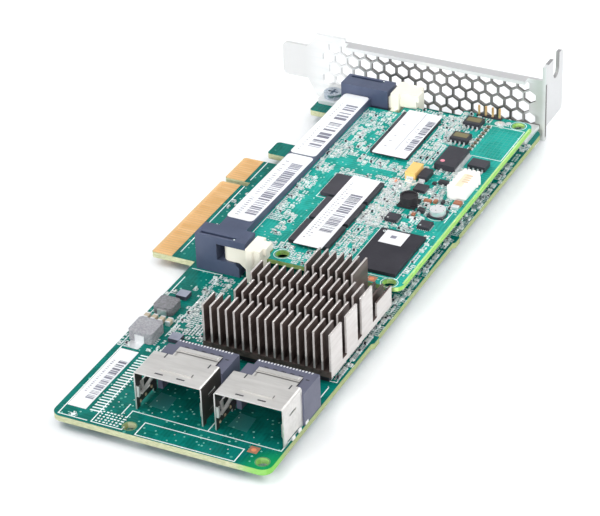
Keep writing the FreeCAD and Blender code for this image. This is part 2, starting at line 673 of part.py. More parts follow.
def latch(label, side, reach):
    """One latch lever, drawn about its own pivot."""
    body = new_body(label)
    place(body, s.pivot_x, pivot_y(side), 0)
    low = s.mouth_low + s.arm_room
    high = s.mouth_high - s.arm_room
    head = [(s.head_start, -s.head_inner * side), (s.head_reach, -s.head_inner * side),
            (s.head_reach, s.head_outer * side), (s.head_start, s.head_outer * side)]
    pad(body, new_sketch(body, label + "_head", "XY_Plane", s.head_low, [head]),
        s.head_high - s.head_low)
    round_edges(body, label + "_head_corners", "z",
                [(s.head_reach, s.head_outer * side), (s.head_start, s.head_outer * side)],
                s.head_corner)
    thumb = rectangle(s.head_start, -s.thumb_inner * side, reach, s.thumb_outer * side)
    pad(body, new_sketch(body, label + "_thumb", "XY_Plane", s.thumb_low, [thumb]),
        s.head_high - s.thumb_low)
    grip_low = module_top + s.grip_room
    grip = rectangle(s.head_start, -s.grip_over * side, reach, s.thumb_outer * side)
    pad(body, new_sketch(body, label + "_grip", "XY_Plane", grip_low, [grip]),
        s.head_high - grip_low)
    ledge = rectangle(s.head_start, -s.grip_over * side, reach + s.ledge_reach,
                      s.ledge_outer * side)
    pad(body, new_sketch(body, label + "_ledge", "XY_Plane", s.ledge_low, [ledge]),
        s.head_high - s.ledge_low)
    arm = [(0, low), (s.arm_flare, low), (s.head_start, s.arm_root), (s.head_start, high),
           (0, high)]
    pad(body, new_sketch(body, label + "_arm", "XZ_Plane", -s.arm_half, [arm]), 2 * s.arm_half)
    heel = new_sketch(body, label + "_heel", "XY_Plane", low, circles=[(0, 0, s.arm_half)])
    pad(body, heel, high - low)
    boss_low = s.mouth_low - s.boss_length
    boss = new_sketch(body, label + "_boss", "XY_Plane", boss_low, circles=[(0, 0, s.boss_radius)])
    pad(body, boss, s.mouth_high + s.boss_length - boss_low)
    hook = [(s.hook_start, -s.arm_half * side), (s.hook_reach, -s.arm_half * side),
            (s.hook_reach, -s.hook_inner * side), (s.hook_start, -s.hook_inner * side)]
    pad(body, new_sketch(body, label + "_hook", "XY_Plane", s.module_low, [hook]), s.module_thick)


def socket_contacts():
    body = new_body("socket_contacts")
    run = s.socket_tail_pitch * (s.socket_tails - 1) + s.socket_tail_width
    place(body, s.bar_left, socket_middle - run / 2, 0)
    foot = rectangle(-s.socket_tail_foot, 0, 0, s.socket_tail_width)
    feature = pad(body, new_sketch(body, "socket_foot", "XY_Plane", 0, [foot]), s.tail_thick)
    repeat(body, feature, "Y_Axis", s.socket_tail_pitch, s.socket_tails)


def cache_board():
    body = new_body("cache_board")
    notch_near = module_near_y + s.module_notch
    notch_far = module_far_y - s.module_notch
    far = module_far_y + s.module_step
    outline = [(s.module_left, notch_near), (s.module_notch_x, notch_near),
               (s.module_notch_x, module_near_y), (s.board_top, module_near_y),
               (s.board_top, far), (s.module_step_x, far), (s.module_step_x, module_far_y),
               (s.module_notch_x, module_far_y), (s.module_notch_x, notch_far),
               (s.module_left, notch_far)]
    pad(body, new_sketch(body, "module_outline", "XY_Plane", s.module_low, [outline]),
        s.module_thick)
    near_hole = module_near_y + s.module_hole_near
    holes = [(s.module_hole_x, near_hole, s.module_hole),
             (s.module_hole_left, near_hole + s.module_hole, s.module_hole),
             (s.module_hole_x, far - s.module_hole_far, s.module_hole)]
    pocket(body, new_sketch(body, "module_holes", "XY_Plane", module_top, circles=holes),
           s.module_thick)
    round_edges(body, "module_corners", "z", [(s.board_top, module_near_y), (s.board_top, far)],
                s.module_corner)


def module_chip(name, x, y, side, length, thick):
    return box(name, x, on_module(y), module_top, side, length, thick)


def leads(name, x, y, outward, count):
    """A row of gull-wing leads along X beside a chip, pointing to one side along Y."""
    row = []
    for index in range(count):
        step = x + s.lead_pitch * index
        foot_y = y if outward > 0 else y - s.lead_foot
        post_y = y if outward > 0 else y - s.lead_thick
        foot = box("%s_foot_%d" % (name, index), step, foot_y, module_top, s.lead_width,
                   s.lead_foot, s.lead_thick)
        post = box("%s_post_%d" % (name, index), step, post_y, module_top, s.lead_width,
                   s.lead_thick, s.lead_rise)
        row.append(fuse("%s_%d" % (name, index), [foot, post]))
    return row


def module_parts():
    chips = []
    for group_start, pitch, count in ((s.memory_first, s.memory_pitch, 2),
                                      (s.memory_second, s.memory_second_pitch, 2)):
        for index in range(count):
            name = "memory_%d" % len(chips)
            chips.append(module_chip(name, s.memory_x, group_start + pitch * index,
                                     s.memory_side, s.memory_length, s.memory_thick))
    group("memory_chips", chips)
    buffer_side = s.memory_x + s.memory_side - s.buffer_x
    keep(module_chip("buffer_chip", s.buffer_x, s.memory_first + s.memory_pitch * 2, buffer_side,
                     s.buffer_length, s.memory_thick), "buffer_chip")
    keep(module_chip("storage_chip", s.store_x, s.store_y, s.store_side, s.store_length,
                     s.store_thick), "storage_chip")
    keep(module_chip("link_chip", s.link_x, s.link_y, s.link_side, s.link_length, s.link_thick),
         "link_chip")
    drivers, rows = [], []
    for index in range(2):
        y = s.driver_y + s.driver_pitch * index
        drivers.append(module_chip("driver_%d" % index, s.driver_x, y, s.driver_side,
                                   s.driver_length, s.driver_thick))
        rows += leads("driver_%d_near" % index, s.driver_x + s.lead_width / 2, on_module(y), -1,
                      4)
        rows += leads("driver_%d_far" % index, s.driver_x + s.lead_width / 2,
                      on_module(y + s.driver_length), 1, 4)
    drivers.append(module_chip("guard", s.guard_x, s.guard_y, s.guard_side, s.guard_length,
                               s.driver_thick))
    rows += leads("guard_near", s.guard_x + s.lead_width / 2, on_module(s.guard_y), -1, 4)
    group("driver_chips", drivers)
    group("driver_leads", rows)
    group("regulator_chips", [
        module_chip("regulator_a", s.regulator_a_x, s.regulator_a_y, s.regulator_side,
                    s.regulator_side, s.regulator_thick),
        module_chip("regulator_b", s.regulator_b_x, s.regulator_b_y, s.regulator_side,
                    s.regulator_side, s.regulator_thick),
        module_chip("regulator_c", s.regulator_c_x, s.regulator_c_y, s.regulator_side,
                    s.regulator_side, s.regulator_thick)])


def round_choke():
    side = 2 * s.choke_radius
    y = on_module(s.choke_y)
    plinth = box("choke_plinth", s.choke_x - s.choke_radius, y - s.choke_radius, module_top, side,
                 side, s.choke_plinth)
    core = cylinder("choke_core", s.choke_x, y, module_top, s.choke_radius, s.choke_height)
    well = cylinder("choke_well", s.choke_x, y, module_top + s.choke_height - s.choke_ring,
                    s.choke_radius - s.choke_ring, s.choke_ring)
    keep(cut("round_choke", fuse("choke_whole", [plinth, core]), well), "round_choke")


def round_capacitor():
    half = s.can_plinth_side / 2
    y = on_module(s.can_y)
    plinth = box("can_plinth", s.can_x - half, y - half, module_top, s.can_plinth_side,
                 s.can_plinth_side, s.can_plinth)
    keep(plinth, "capacitor_base")
    can = cylinder("can", s.can_x, y, module_top + s.can_plinth, s.can_radius,
                   s.can_height - s.can_plinth)
    keep(can, "capacitor_can")


def moulded_part(label, x, y, side, length, height):
    """A moulded body with a folded terminal over each end."""
    start = on_module(y)
    body = box(label, x, start, module_top, side, length, height)
    keep(body, label)
    ends = []
    for index, where in enumerate((start - s.lead_thick, start + length)):
        ends.append(box("%s_end_%d" % (label, index), x + s.cap_terminal / 2, where, module_top,
                        side - s.cap_terminal, s.lead_thick, height / 2))
    return ends


def module_power():
    ends = moulded_part("tantalum_capacitor", s.tantalum_x, s.tantalum_y, s.tantalum_side,
                        s.tantalum_length, s.tantalum_height)
    ends += moulded_part("power_diode", s.diode_x, s.diode_y, s.diode_side, s.diode_length,
                         s.diode_height)
    group("module_terminals", ends)


def battery_connector():
    body = new_body("battery_connector")
    place(body, s.battery_x, on_module(s.battery_y), 0)
    shell = rectangle(0, 0, s.battery_side, s.battery_length)
    pad(body, new_sketch(body, "shell", "XY_Plane", module_top, [shell]), s.battery_height)
    round_edges(body, "shell_corners", "z",
                [(0, 0), (s.battery_side, 0), (s.battery_side, s.battery_length),
                 (0, s.battery_length)], s.battery_corner)
    wall = s.battery_wall
    well = rectangle(wall, wall, s.battery_side - wall, s.battery_length - wall)
    top = module_top + s.battery_height
    pocket(body, new_sketch(body, "well", "XY_Plane", top, [well]), s.battery_well)
    length = s.battery_length - 2 * (wall + s.key_block)
    block_low = top - s.battery_well
    keep(box("battery_core", s.battery_x + wall + s.key_block / 2,
             on_module(s.battery_y) + wall + s.key_block, block_low,
             s.battery_side - 2 * wall - s.key_block, length, s.battery_well),
         "battery_core")


def pin_header():
    far = module_far_y + s.module_step - s.pin_from_far
    run = s.pin_pitch * (s.pin_count - 1)
    strip = box("header_strip", s.pin_x - s.strip_margin, far - s.strip_margin, module_top,
                run + 2 * s.strip_margin, 2 * s.strip_margin, s.strip_height)
    keep(strip, "header_strip")
    body = new_body("header_pins")
    place(body, s.pin_x, far, module_top + s.strip_height)
    half = s.pin_side / 2
    pin = rectangle(-half, -half, half, half)
    feature = pad(body, new_sketch(body, "pin", "XY_Plane", 0, [pin]),
                  s.pin_height - s.strip_height)
    repeat(body, feature, "X_Axis", s.pin_pitch, s.pin_count)


def power_coil(label, x, y, side, height):
    body = new_body(label)
    place(body, x, along(y), 0)
    pad(body, new_sketch(body, label + "_plan", "XY_Plane", 0, [rectangle(0, 0, side, side)]),
        height)
    round_edges(body, label + "_corners", "z", [(0, 0), (side, 0), (side, side), (0, side)],
                s.coil_corner)
    ends = []
    for index, where in enumerate((along(y) - s.lead_thick, along(y) + side)):
        ends.append(box("%s_end_%d" % (label, index), x + (side - s.coil_foot_width) / 2, where, 0,
                        s.coil_foot_width, s.lead_thick, height * 0.7))
    return ends


def board_power():
    ends = power_coil("power_coil", s.coil_x, s.coil_y, s.coil_side, s.coil_height)
    ends += power_coil("small_coil", s.small_coil_x, s.small_coil_y, s.small_coil_side,
                       s.small_coil_height)
    group("coil_terminals", ends)
    group("power_chips", [
        box("power_chip_a", s.power_chip_a_x, along(s.power_chip_a_y), 0, s.power_chip_side,
            s.power_chip_side, s.power_chip_thick),
        box("power_chip_b", s.power_chip_b_x, along(s.power_chip_b_y), 0, s.power_chip_side,
            s.power_chip_side, s.power_chip_thick),
        box("power_chip_between", s.between_x, along(s.between_y), 0, s.between_side,
            s.between_length, s.between_height)])
    bodies, caps = [], []
    for index in range(SIZE_TABLE["cap_count"]):
        x = s.cap_x + s.cap_pitch * index
        y = along(s.cap_y)
        bodies.append(box("cap_body_%d" % index, x, y + s.cap_end, 0, s.cap_side,
                          s.cap_length - 2 * s.cap_end, s.cap_height))
        for end, where in enumerate((y, y + s.cap_length - s.cap_end)):
            caps.append(box("cap_end_%d_%d" % (index, end), x, where, 0, s.cap_side, s.cap_end,
                            s.cap_height))
    group("board_capacitors", bodies)
    group("capacitor_ends", caps)


def labels():
    keep(box("board_label", s.label_x, along(s.label_y), 0, s.label_side, s.label_length,
             s.paper), "board_label")
    first = along(s.bar_label_y)
    second = first + s.bar_label_length + s.bar_label_gap
    group("socket_labels", [
        box("socket_label_near", s.bar_label_x, first, s.bar_height, s.bar_label_side,
            s.bar_label_length, s.paper),
        box("socket_label_far", s.bar_label_x, second, s.bar_height, s.bar_label_side,
            s.bar_label_length, s.paper)])
    chip_top = module_top + s.memory_thick
    near = on_module(s.memory_first) - s.memory_label_margin
    near_length = s.memory_pitch * 2 + s.buffer_length + 2 * s.memory_label_margin - 1
    far = on_module(s.memory_second) - s.memory_label_margin
    far_length = s.memory_second_pitch + s.memory_length + 2 * s.memory_label_margin
    group("memory_labels", [
        box("memory_label_near", s.memory_label_x, near, chip_top, s.memory_label_side,
            near_length, s.paper),
        box("memory_label_far", s.memory_label_x, far, chip_top, s.memory_label_side, far_length,
            s.paper)])
    keep(box("chip_label", s.store_label_x, on_module(s.store_label_y), module_top + s.store_thick,
             s.store_label_side, s.store_label_length, s.paper), "chip_label")


def build():
    main_board()
    edge_contacts()
    bracket()
    bracket_screws()
    heat_sink()
    chip_below_sink()
    for index, side in enumerate(("left", "right")):
        cable_cage("cable_cage_" + side, index)
        cable_plug_housing("cable_housing_" + side, index)
        cable_contacts("cable_contacts_" + side, index)
    socket_housing()
    socket_contacts()
    latch("latch_near", -1, s.thumb_near)
    latch("latch_far", 1, s.thumb_far)
    cache_board()
    module_parts()
    round_choke()
    round_capacitor()
    module_power()
    battery_connector()
    pin_header()
    board_power()
    labels()


def check_document():
    doc.recompute()
    for thing in doc.Objects:
        if any(word in ("Invalid", "Error") for word in thing.State):
            raise RuntimeError("%s is %s" % (thing.Name, thing.State))
    for thing in nodes:
        if thing.Shape.isNull() or not thing.Shape.isValid():
            raise RuntimeError(thing.Label + " has no valid shape")


def write_parts():
    os.makedirs("parts", exist_ok=True)
    for thing in nodes:
        thing.Shape.exportStep("parts/%s.step" % thing.Label)


build()
check_document()
write_parts()
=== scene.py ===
import json
import math
import random

import bmesh
import bpy
from mathutils import Matrix, Vector
from mathutils.bvhtree import BVHTree


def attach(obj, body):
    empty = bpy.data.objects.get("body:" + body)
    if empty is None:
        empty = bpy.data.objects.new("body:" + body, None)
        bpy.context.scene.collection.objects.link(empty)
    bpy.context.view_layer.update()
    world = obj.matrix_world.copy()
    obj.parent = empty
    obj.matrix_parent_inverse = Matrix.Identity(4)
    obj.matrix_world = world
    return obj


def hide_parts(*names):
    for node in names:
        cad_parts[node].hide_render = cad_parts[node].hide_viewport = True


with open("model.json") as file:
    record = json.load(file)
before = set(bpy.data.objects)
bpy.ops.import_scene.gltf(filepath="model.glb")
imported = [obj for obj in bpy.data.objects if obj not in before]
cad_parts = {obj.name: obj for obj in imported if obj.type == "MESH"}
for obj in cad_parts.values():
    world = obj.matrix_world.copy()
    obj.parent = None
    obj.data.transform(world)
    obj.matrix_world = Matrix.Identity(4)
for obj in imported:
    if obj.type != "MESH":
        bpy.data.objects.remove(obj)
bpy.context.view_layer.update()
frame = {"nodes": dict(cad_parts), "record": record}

MM = 0.001
NODES = frame["nodes"]


# Camera

LENS = 147.97
CAMERA_PLACE = Vector((277.23, -497.11, 330.68)) * MM
CAMERA_TARGET = Vector((36.25, -27.60, 0.0)) * MM
CAMERA_ROLL = math.radians(-2.212)


def aim_camera():
    """The camera at the angle, distance and small tilt that fit the photograph."""
    data = bpy.data.cameras.new("photo_camera")
    data.lens = LENS
    data.sensor_width = 36.0
    data.clip_start = 0.01
    data.clip_end = 20.0
    camera = bpy.data.objects.new("photo_camera", data)
    bpy.context.scene.collection.objects.link(camera)
    camera.location = CAMERA_PLACE
    look = (CAMERA_TARGET - CAMERA_PLACE).to_track_quat("-Z", "Y")
    camera.rotation_mode = "QUATERNION"
    camera.rotation_quaternion = look @ Matrix.Rotation(CAMERA_ROLL, 3, "Z").to_quaternion()
    bpy.context.scene.camera = camera


# Shader sums

class Sum:
    """A shader socket that can be used in a sum written as plain arithmetic."""

    def __init__(self, graph, socket):
        self.graph = graph
        self.socket = socket

    def _math(self, operation, other, swap=False):
        first, second = (other, self) if swap else (self, other)
        return self.graph.add("ShaderNodeMath", {"operation": operation}, [first, second])

    def __add__(self, other):
        return self._math("ADD", other)

    def __radd__(self, other):
        return self._math("ADD", other, True)

    def __sub__(self, other):
        return self._math("SUBTRACT", other)

    def __rsub__(self, other):
        return self._math("SUBTRACT", other, True)

    def __mul__(self, other):
        return self._math("MULTIPLY", other)

    def __rmul__(self, other):
        return self._math("MULTIPLY", other, True)

    def above(self, edge):
        return self._math("GREATER_THAN", edge)

    def below(self, edge):
        return self._math("LESS_THAN", edge)

    def within(self, low, high):
        return self.above(low) * self.below(high)

    def larger(self, other):
        return self._math("MAXIMUM", other)

    def size(self):
        return self.graph.add("ShaderNodeMath", {"operation": "ABSOLUTE"}, [self])

    def ramp(self, low, high):
        """0 below low, 1 above high, and a smooth step between."""
        return self.graph.add("ShaderNodeMapRange", {"interpolation_type": "SMOOTHSTEP"},
                              [self, low, high, 0.0, 1.0])

    def part(self, name):
        """Another output of the same node."""
        return Sum(self.graph, self.socket.node.outputs[name])


# Sockets of the Mix node when it mixes colors
MIX_SHARE = 0
MIX_FIRST = 6
MIX_SECOND = 7
MIX_RESULT = 2


class Finish:
    """One material: its graph, its shader and what is fed to it."""

    def __init__(self, name, color, roughness, metallic=0.0):
        self.material = bpy.data.materials.new(name)
        self.material.use_nodes = True
        self.tree = self.material.node_tree
        self.shader = self.tree.nodes["Principled BSDF"]
        self.feed("Base Color", color)
        self.feed("Roughness", roughness)
        self.feed("Metallic", metallic)
        self.place = self.add("ShaderNodeTexCoord").part("Object")

    def feed(self, name, value):
        """A value or a sum for one socket of the shader."""
        self._plug(self.shader.inputs[name], value)

    def _plug(self, socket, value):
        if isinstance(value, Sum):
            self.tree.links.new(value.socket, socket)
        elif isinstance(value, (tuple, list)) and len(value) == 3 and socket.type == "RGBA":
            socket.default_value = (*value, 1.0)
        else:
            socket.default_value = value

    def add(self, kind, settings=None, inputs=()):
        """One node: its settings first, then the values or links of its sockets."""
        node = self.tree.nodes.new(kind)
        for name, value in (settings or {}).items():
            setattr(node, name, value)
        pairs = inputs.items() if isinstance(inputs, dict) else enumerate(inputs)
        for key, value in pairs:
            self._plug(node.inputs[key], value)
        return Sum(self, node.outputs[0])

    def blend(self, share, first, second):
        """The first color where share is 0 and the second where it is 1."""
        node = self.tree.nodes.new("ShaderNodeMix")
        node.data_type = "RGBA"
        for key, value in ((MIX_SHARE, share), (MIX_FIRST, first), (MIX_SECOND, second)):
            self._plug(node.inputs[key], value)
        return Sum(self, node.outputs[MIX_RESULT])

    def noise(self, scale, detail=3.0, roughness=0.5, place=None):
        return self.add("ShaderNodeTexNoise", {}, {"Vector": place or self.place, "Scale": scale,
                                                   "Detail": detail, "Roughness": roughness})

    def cells(self, scale, place, randomness):
        """Scattered points: how far the nearest one is, and a color of its own."""
        return self.add("ShaderNodeTexVoronoi", {},
                        {"Vector": place, "Scale": scale, "Randomness": randomness})

    def axis(self, name, place=None):
        """One of the three parts of the place, or of another vector."""
        split = self.add("ShaderNodeSeparateXYZ", {}, [place or self.place])
        return split.part(name)

    def facing(self, name):
        """One part of the surface's own outward direction."""
        normal = self.add("ShaderNodeNewGeometry").part("Normal")
        return self.axis(name, normal)

    def bump(self, height, strength, distance):
        value = self.add("ShaderNodeBump", {}, {"Strength": strength, "Distance": distance,
                                                "Height": height})
        self.feed("Normal", value)


def stretched(finish, x, y, z):
    """The object's place with each axis scaled."""
    return finish.add("ShaderNodeVectorMath", {"operation": "MULTIPLY"}, [finish.place, (x, y, z)])


# Finishes: how squarely a face looks along an axis, and where the painted light and shade of some
# finishes change, in metres

SQUARE_ON = 0.7
FIN_TOPS = 0.0135
FIN_ROOTS = 0.004
SINK_FLANK = 0.0665
LAST_CAGE_WALL = 0.0675
PLATE_DEPTH = (0.0580, 0.0594)
VENT_HEIGHTS = (-0.0028, 0.0134)
LIP_HEIGHTS = (0.0140, 0.0150)
LIP_START = 0.055
FLANGE_FACE = 0.0685
RIM_START = 0.0604


def lacquer(name, dark, light, tracks_tone, via_tone, edge_low, edge_high,
            shaded_side_tone, track_share, corner=None):
    """Solder mask over copper: pours, fine tracks, covered vias and the laminate's cut edge.

    Near the corner, where one is given, both are painted a more vivid green, a painted glow of
    light.
    """
    f = Finish(name, dark, 0.28)
    f.shader.inputs["Specular IOR Level"].default_value = 0.12
    flat = stretched(f, 1.0, 1.0, 0.0)
    pour = f.noise(140.0, 3.0, 0.6, flat).ramp(0.46, 0.54)
    waves = [f.add("ShaderNodeTexWave", {"bands_direction": way},
                   {"Vector": flat, "Scale": 320.0, "Distortion": 3.0, "Detail": 1.0,
                    "Detail Scale": 0.6}) for way in ("X", "Y")]
    choose = f.noise(60.0, 1.0, 0.5, flat).ramp(0.48, 0.52)
    tracks = (waves[0] * choose + waves[1] * (1.0 - choose)).ramp(0.35, 0.6)
    vias = f.cells(420.0, flat, 0.7)
    half_of_them = f.axis("X", vias.part("Color")).above(0.5)
    spots = (1.0 - vias.part("Distance").ramp(0.12, 0.19)) * half_of_them
    green = f.blend(pour, dark, light)
    green = f.blend(tracks * track_share, green, tracks_tone)
    green = f.blend(spots * 0.7, green, via_tone)
    side = f.facing("Z").size().below(0.5)
    layers = f.noise(900.0, 2.0, 0.5, stretched(f, 1.0, 1.0, 6.0)).ramp(0.3, 0.7)
    edge = f.blend(layers, edge_low, edge_high)
    # Painted shade: the cut edges that face +X are painted a darker, deeper green.
    edge = f.blend(f.facing("X").above(SQUARE_ON) * 0.6, edge, shaded_side_tone)
    # Painted glow of light: near the corner the mask and its cut edge are painted a more vivid
    # green.
    if corner:
        across, along = f.axis("X") - corner[0], f.axis("Y") - corner[1]
        glow_distance = across * across + along * along
        near = 1.0 - glow_distance.ramp(0.000004, 0.00009)
        green = f.blend(near * 0.7, green, (0.006, 0.30, 0.06))
        edge = f.blend(near * 0.8, edge, (0.20, 0.58, 0.08))
    f.feed("Base Color", f.blend(side, green, edge))
    f.feed("Roughness", side * 0.35 + 0.27)
    f.bump(tracks * (1.0 - side) + spots, 0.25, 0.00008)
    return f.material


def gold_plate():
    """Contact gold, rubbed along the way the card slides in."""
    f = Finish("gold_plate", (0.86, 0.50, 0.20), 0.34, 0.75)
    rub = f.noise(500.0, 3.0, 0.6, stretched(f, 0.15, 1.0, 1.0))
    f.feed("Base Color", f.blend(rub.ramp(0.3, 0.7), (0.84, 0.48, 0.18), (0.95, 0.62, 0.30)))
    f.feed("Roughness", rub * 0.25 + 0.24)
    return f.material


def metal(name, low, high, roughness, share):
    """Sheet or plated metal with a fine grain; share is how much of it is bare metal."""
    f = Finish(name, low, roughness, share)
    grains = f.noise(700.0, 3.0, 0.6)
    cloud = f.noise(60.0, 2.0)
    f.feed("Base Color", f.blend((grains + cloud * 0.6 - 0.3).ramp(0.2, 0.8), low, high))
    f.feed("Roughness", grains * 0.18 + (roughness - 0.09))
    f.bump(grains, 0.1, 0.00003)
    return f.material


def moulded(name, low, high, roughness, gloss=0.5, scale=1500.0, bump=0.25):
    """Moulded plastic or resin: fine grain and slow changes of shade."""
    f = Finish(name, low, roughness)
    f.shader.inputs["Specular IOR Level"].default_value = gloss
    grain = f.noise(scale, 2.0, 0.6)
    cloud = f.noise(90.0, 3.0, 0.6)
    f.feed("Base Color", f.blend(cloud.ramp(0.3, 0.7), low, high))
    f.feed("Roughness", grain * 0.15 + (roughness - 0.07))
    f.bump(grain, bump, 0.00003)
    return f.material


def top_lit_resin(name, body, top):
    """Dark resin whose top face is painted paler as a painted highlight."""
    f = Finish(name, body, 0.42)
    f.shader.inputs["Specular IOR Level"].default_value = 0.3
    cloud = f.noise(260.0, 3.0, 0.6)
    # Painted highlight: faces that look up take the paler top colour, in soft clouds.
    lit_top_share = f.facing("Z").above(SQUARE_ON) * (cloud.ramp(0.25, 0.6) * 0.35 + 0.65)
    f.feed("Base Color", f.blend(lit_top_share, body, top))
    f.bump(f.noise(1500.0, 2.0, 0.6), 0.25, 0.00003)
    return f.material


def pressed_powder(name, low, high):
    """The speckled pressed powder of the two square coils."""
    f = Finish(name, low, 0.55)
    speck = f.noise(1700.0, 3.0, 0.7)
    cloud = f.noise(160.0, 2.0)
    f.feed("Base Color", f.blend((speck * 0.8 + cloud * 0.2).ramp(0.38, 0.62), low, high))
    f.bump(speck, 0.4, 0.00006)
    return f.material


def anodised():
    """Brown-grey anodised aluminium with a drawn grain, in a painted shaded colour and a painted
    lit colour: painted highlights on the tops, the near ends and the outer side wall.
    """
    f = Finish("brown_anodised", (0.16, 0.125, 0.12), 0.42, 0.3)
    drawn = f.noise(900.0, 3.0, 0.6, stretched(f, 1.0, 0.1, 1.0))
    # Painted highlights where fin tops, near ends above the base and the outer side wall face the
    # light.
    top = f.facing("Z").above(SQUARE_ON) * f.axis("Z").above(FIN_TOPS)
    end = f.facing("Y").below(-SQUARE_ON) * f.axis("Z").above(FIN_ROOTS)
    lit_flank = f.facing("X").above(SQUARE_ON) * f.axis("X").above(SINK_FLANK)
    # The dark colour is painted shade between the fins; the pale one is painted light.
    dark = f.blend(drawn.ramp(0.3, 0.7), (0.080, 0.054, 0.048), (0.142, 0.104, 0.094))
    pale = f.blend(drawn.ramp(0.3, 0.7), (0.575, 0.54, 0.52), (0.66, 0.63, 0.61))
    share = (end * 0.8).larger(top * 0.95).larger(lit_flank)
    f.feed("Base Color", f.blend(share, dark, pale))
    f.feed("Roughness", drawn * 0.2 + 0.32)
    f.bump(drawn, 0.2, 0.00004)
    return f.material


def paper():
    """White label paper with a faint fibre."""
    tone = (0.80, 0.815, 0.83)
    f = Finish("label_paper", tone, 0.55)
    fibre = f.noise(1800.0, 3.0, 0.7)
    f.feed("Base Color", f.blend(fibre.ramp(0.2, 0.8), tuple(c * 0.96 for c in tone), tone))
    f.bump(fibre, 0.12, 0.00002)
    return f.material


def bracket_steel():
    """Satin plated steel; the webs between the vents, the lip, the rim and the ends are painted
    darker, as painted shade and reflection.
    """
    f = Finish("bracket_steel", (0.85, 0.86, 0.86), 0.4, 0.4)
    grains = f.noise(700.0, 3.0, 0.6, stretched(f, 0.1, 1.0, 1.0))
    across, along, up = f.axis("X"), f.axis("Y"), f.axis("Z")
    front = f.facing("Y").below(-SQUARE_ON)
    plate = along.within(*PLATE_DEPTH)
    vents = up.within(*VENT_HEIGHTS)
    # Painted reflection and shade: the fronts of the webs darken in blotches from left to right,
    # and the vent walls are painted dark.
    web_shade_patches = f.noise(90.0, 2.0, 0.5).ramp(0.35, 0.65) * 0.25 + 0.7
    webs = front * vents * across.ramp(0.009, 0.024) * (1.0 - across.ramp(0.058, 0.067)) * web_shade_patches
    shaded_vent_walls = f.facing("Y").size().below(0.5) * plate * vents * across.ramp(0.002, 0.018)
    # Painted shade: the lip's top, the flange, the rim, the tongue and the right end take darker
    # greys.
    lip = f.facing("Z").above(SQUARE_ON) * up.within(*LIP_HEIGHTS) * along.above(LIP_START)
    flange = f.facing("X").above(SQUARE_ON) * across.above(FLANGE_FACE)
    rim = along.above(RIM_START) * f.facing("X").size().below(0.5)
    tongue = (1.0 - across.ramp(-0.0045, 0.0015)) * plate
    end = front * across.ramp(0.0635, 0.067) * (1.0 - across.ramp(0.0675, 0.0690))
    shine = f.blend(grains.ramp(0.2, 0.8), (0.70, 0.715, 0.715), (0.79, 0.80, 0.80))
    for share, tone in ((lip, (0.54, 0.54, 0.545)), (flange, (0.60, 0.605, 0.605)),
                        (rim, (0.30, 0.30, 0.30)), (tongue, (0.645, 0.65, 0.645)),
                        (end * 0.8, (0.50, 0.54, 0.50))):
        shine = f.blend(share, shine, tone)
    f.feed("Base Color", f.blend(shaded_vent_walls.larger(webs), shine, (0.11, 0.105, 0.10)))
    f.feed("Roughness", grains * 0.18 + 0.31)
    f.bump(grains, 0.1, 0.00003)
    return f.material


def folded_steel():
    """Folded sheet steel; the walls that face the outer edge, but for the last, are painted dark as
    painted shade, and made less metallic.
    """
    f = Finish("cage_steel", (0.70, 0.68, 0.65), 0.38, 0.8)
    grains = f.noise(700.0, 3.0, 0.6, stretched(f, 0.15, 1.0, 1.0))
    cloud = f.noise(60.0, 2.0)
    sheet = f.blend((grains + cloud * 0.6 - 0.3).ramp(0.2, 0.8), (0.62, 0.605, 0.58),
                    (0.75, 0.735, 0.71))
    # Painted shade: walls that face the next cage take a near-black colour and lose most of their
    # metal.
    shaded_wall = f.facing("X").above(SQUARE_ON) * f.axis("X").below(LAST_CAGE_WALL)
    f.feed("Base Color", f.blend(shaded_wall, sheet, (0.035, 0.032, 0.028)))
    f.feed("Metallic", 0.8 - shaded_wall * 0.6)
    f.feed("Roughness", grains * 0.18 + 0.29)
    f.bump(grains, 0.1, 0.00003)
    return f.material


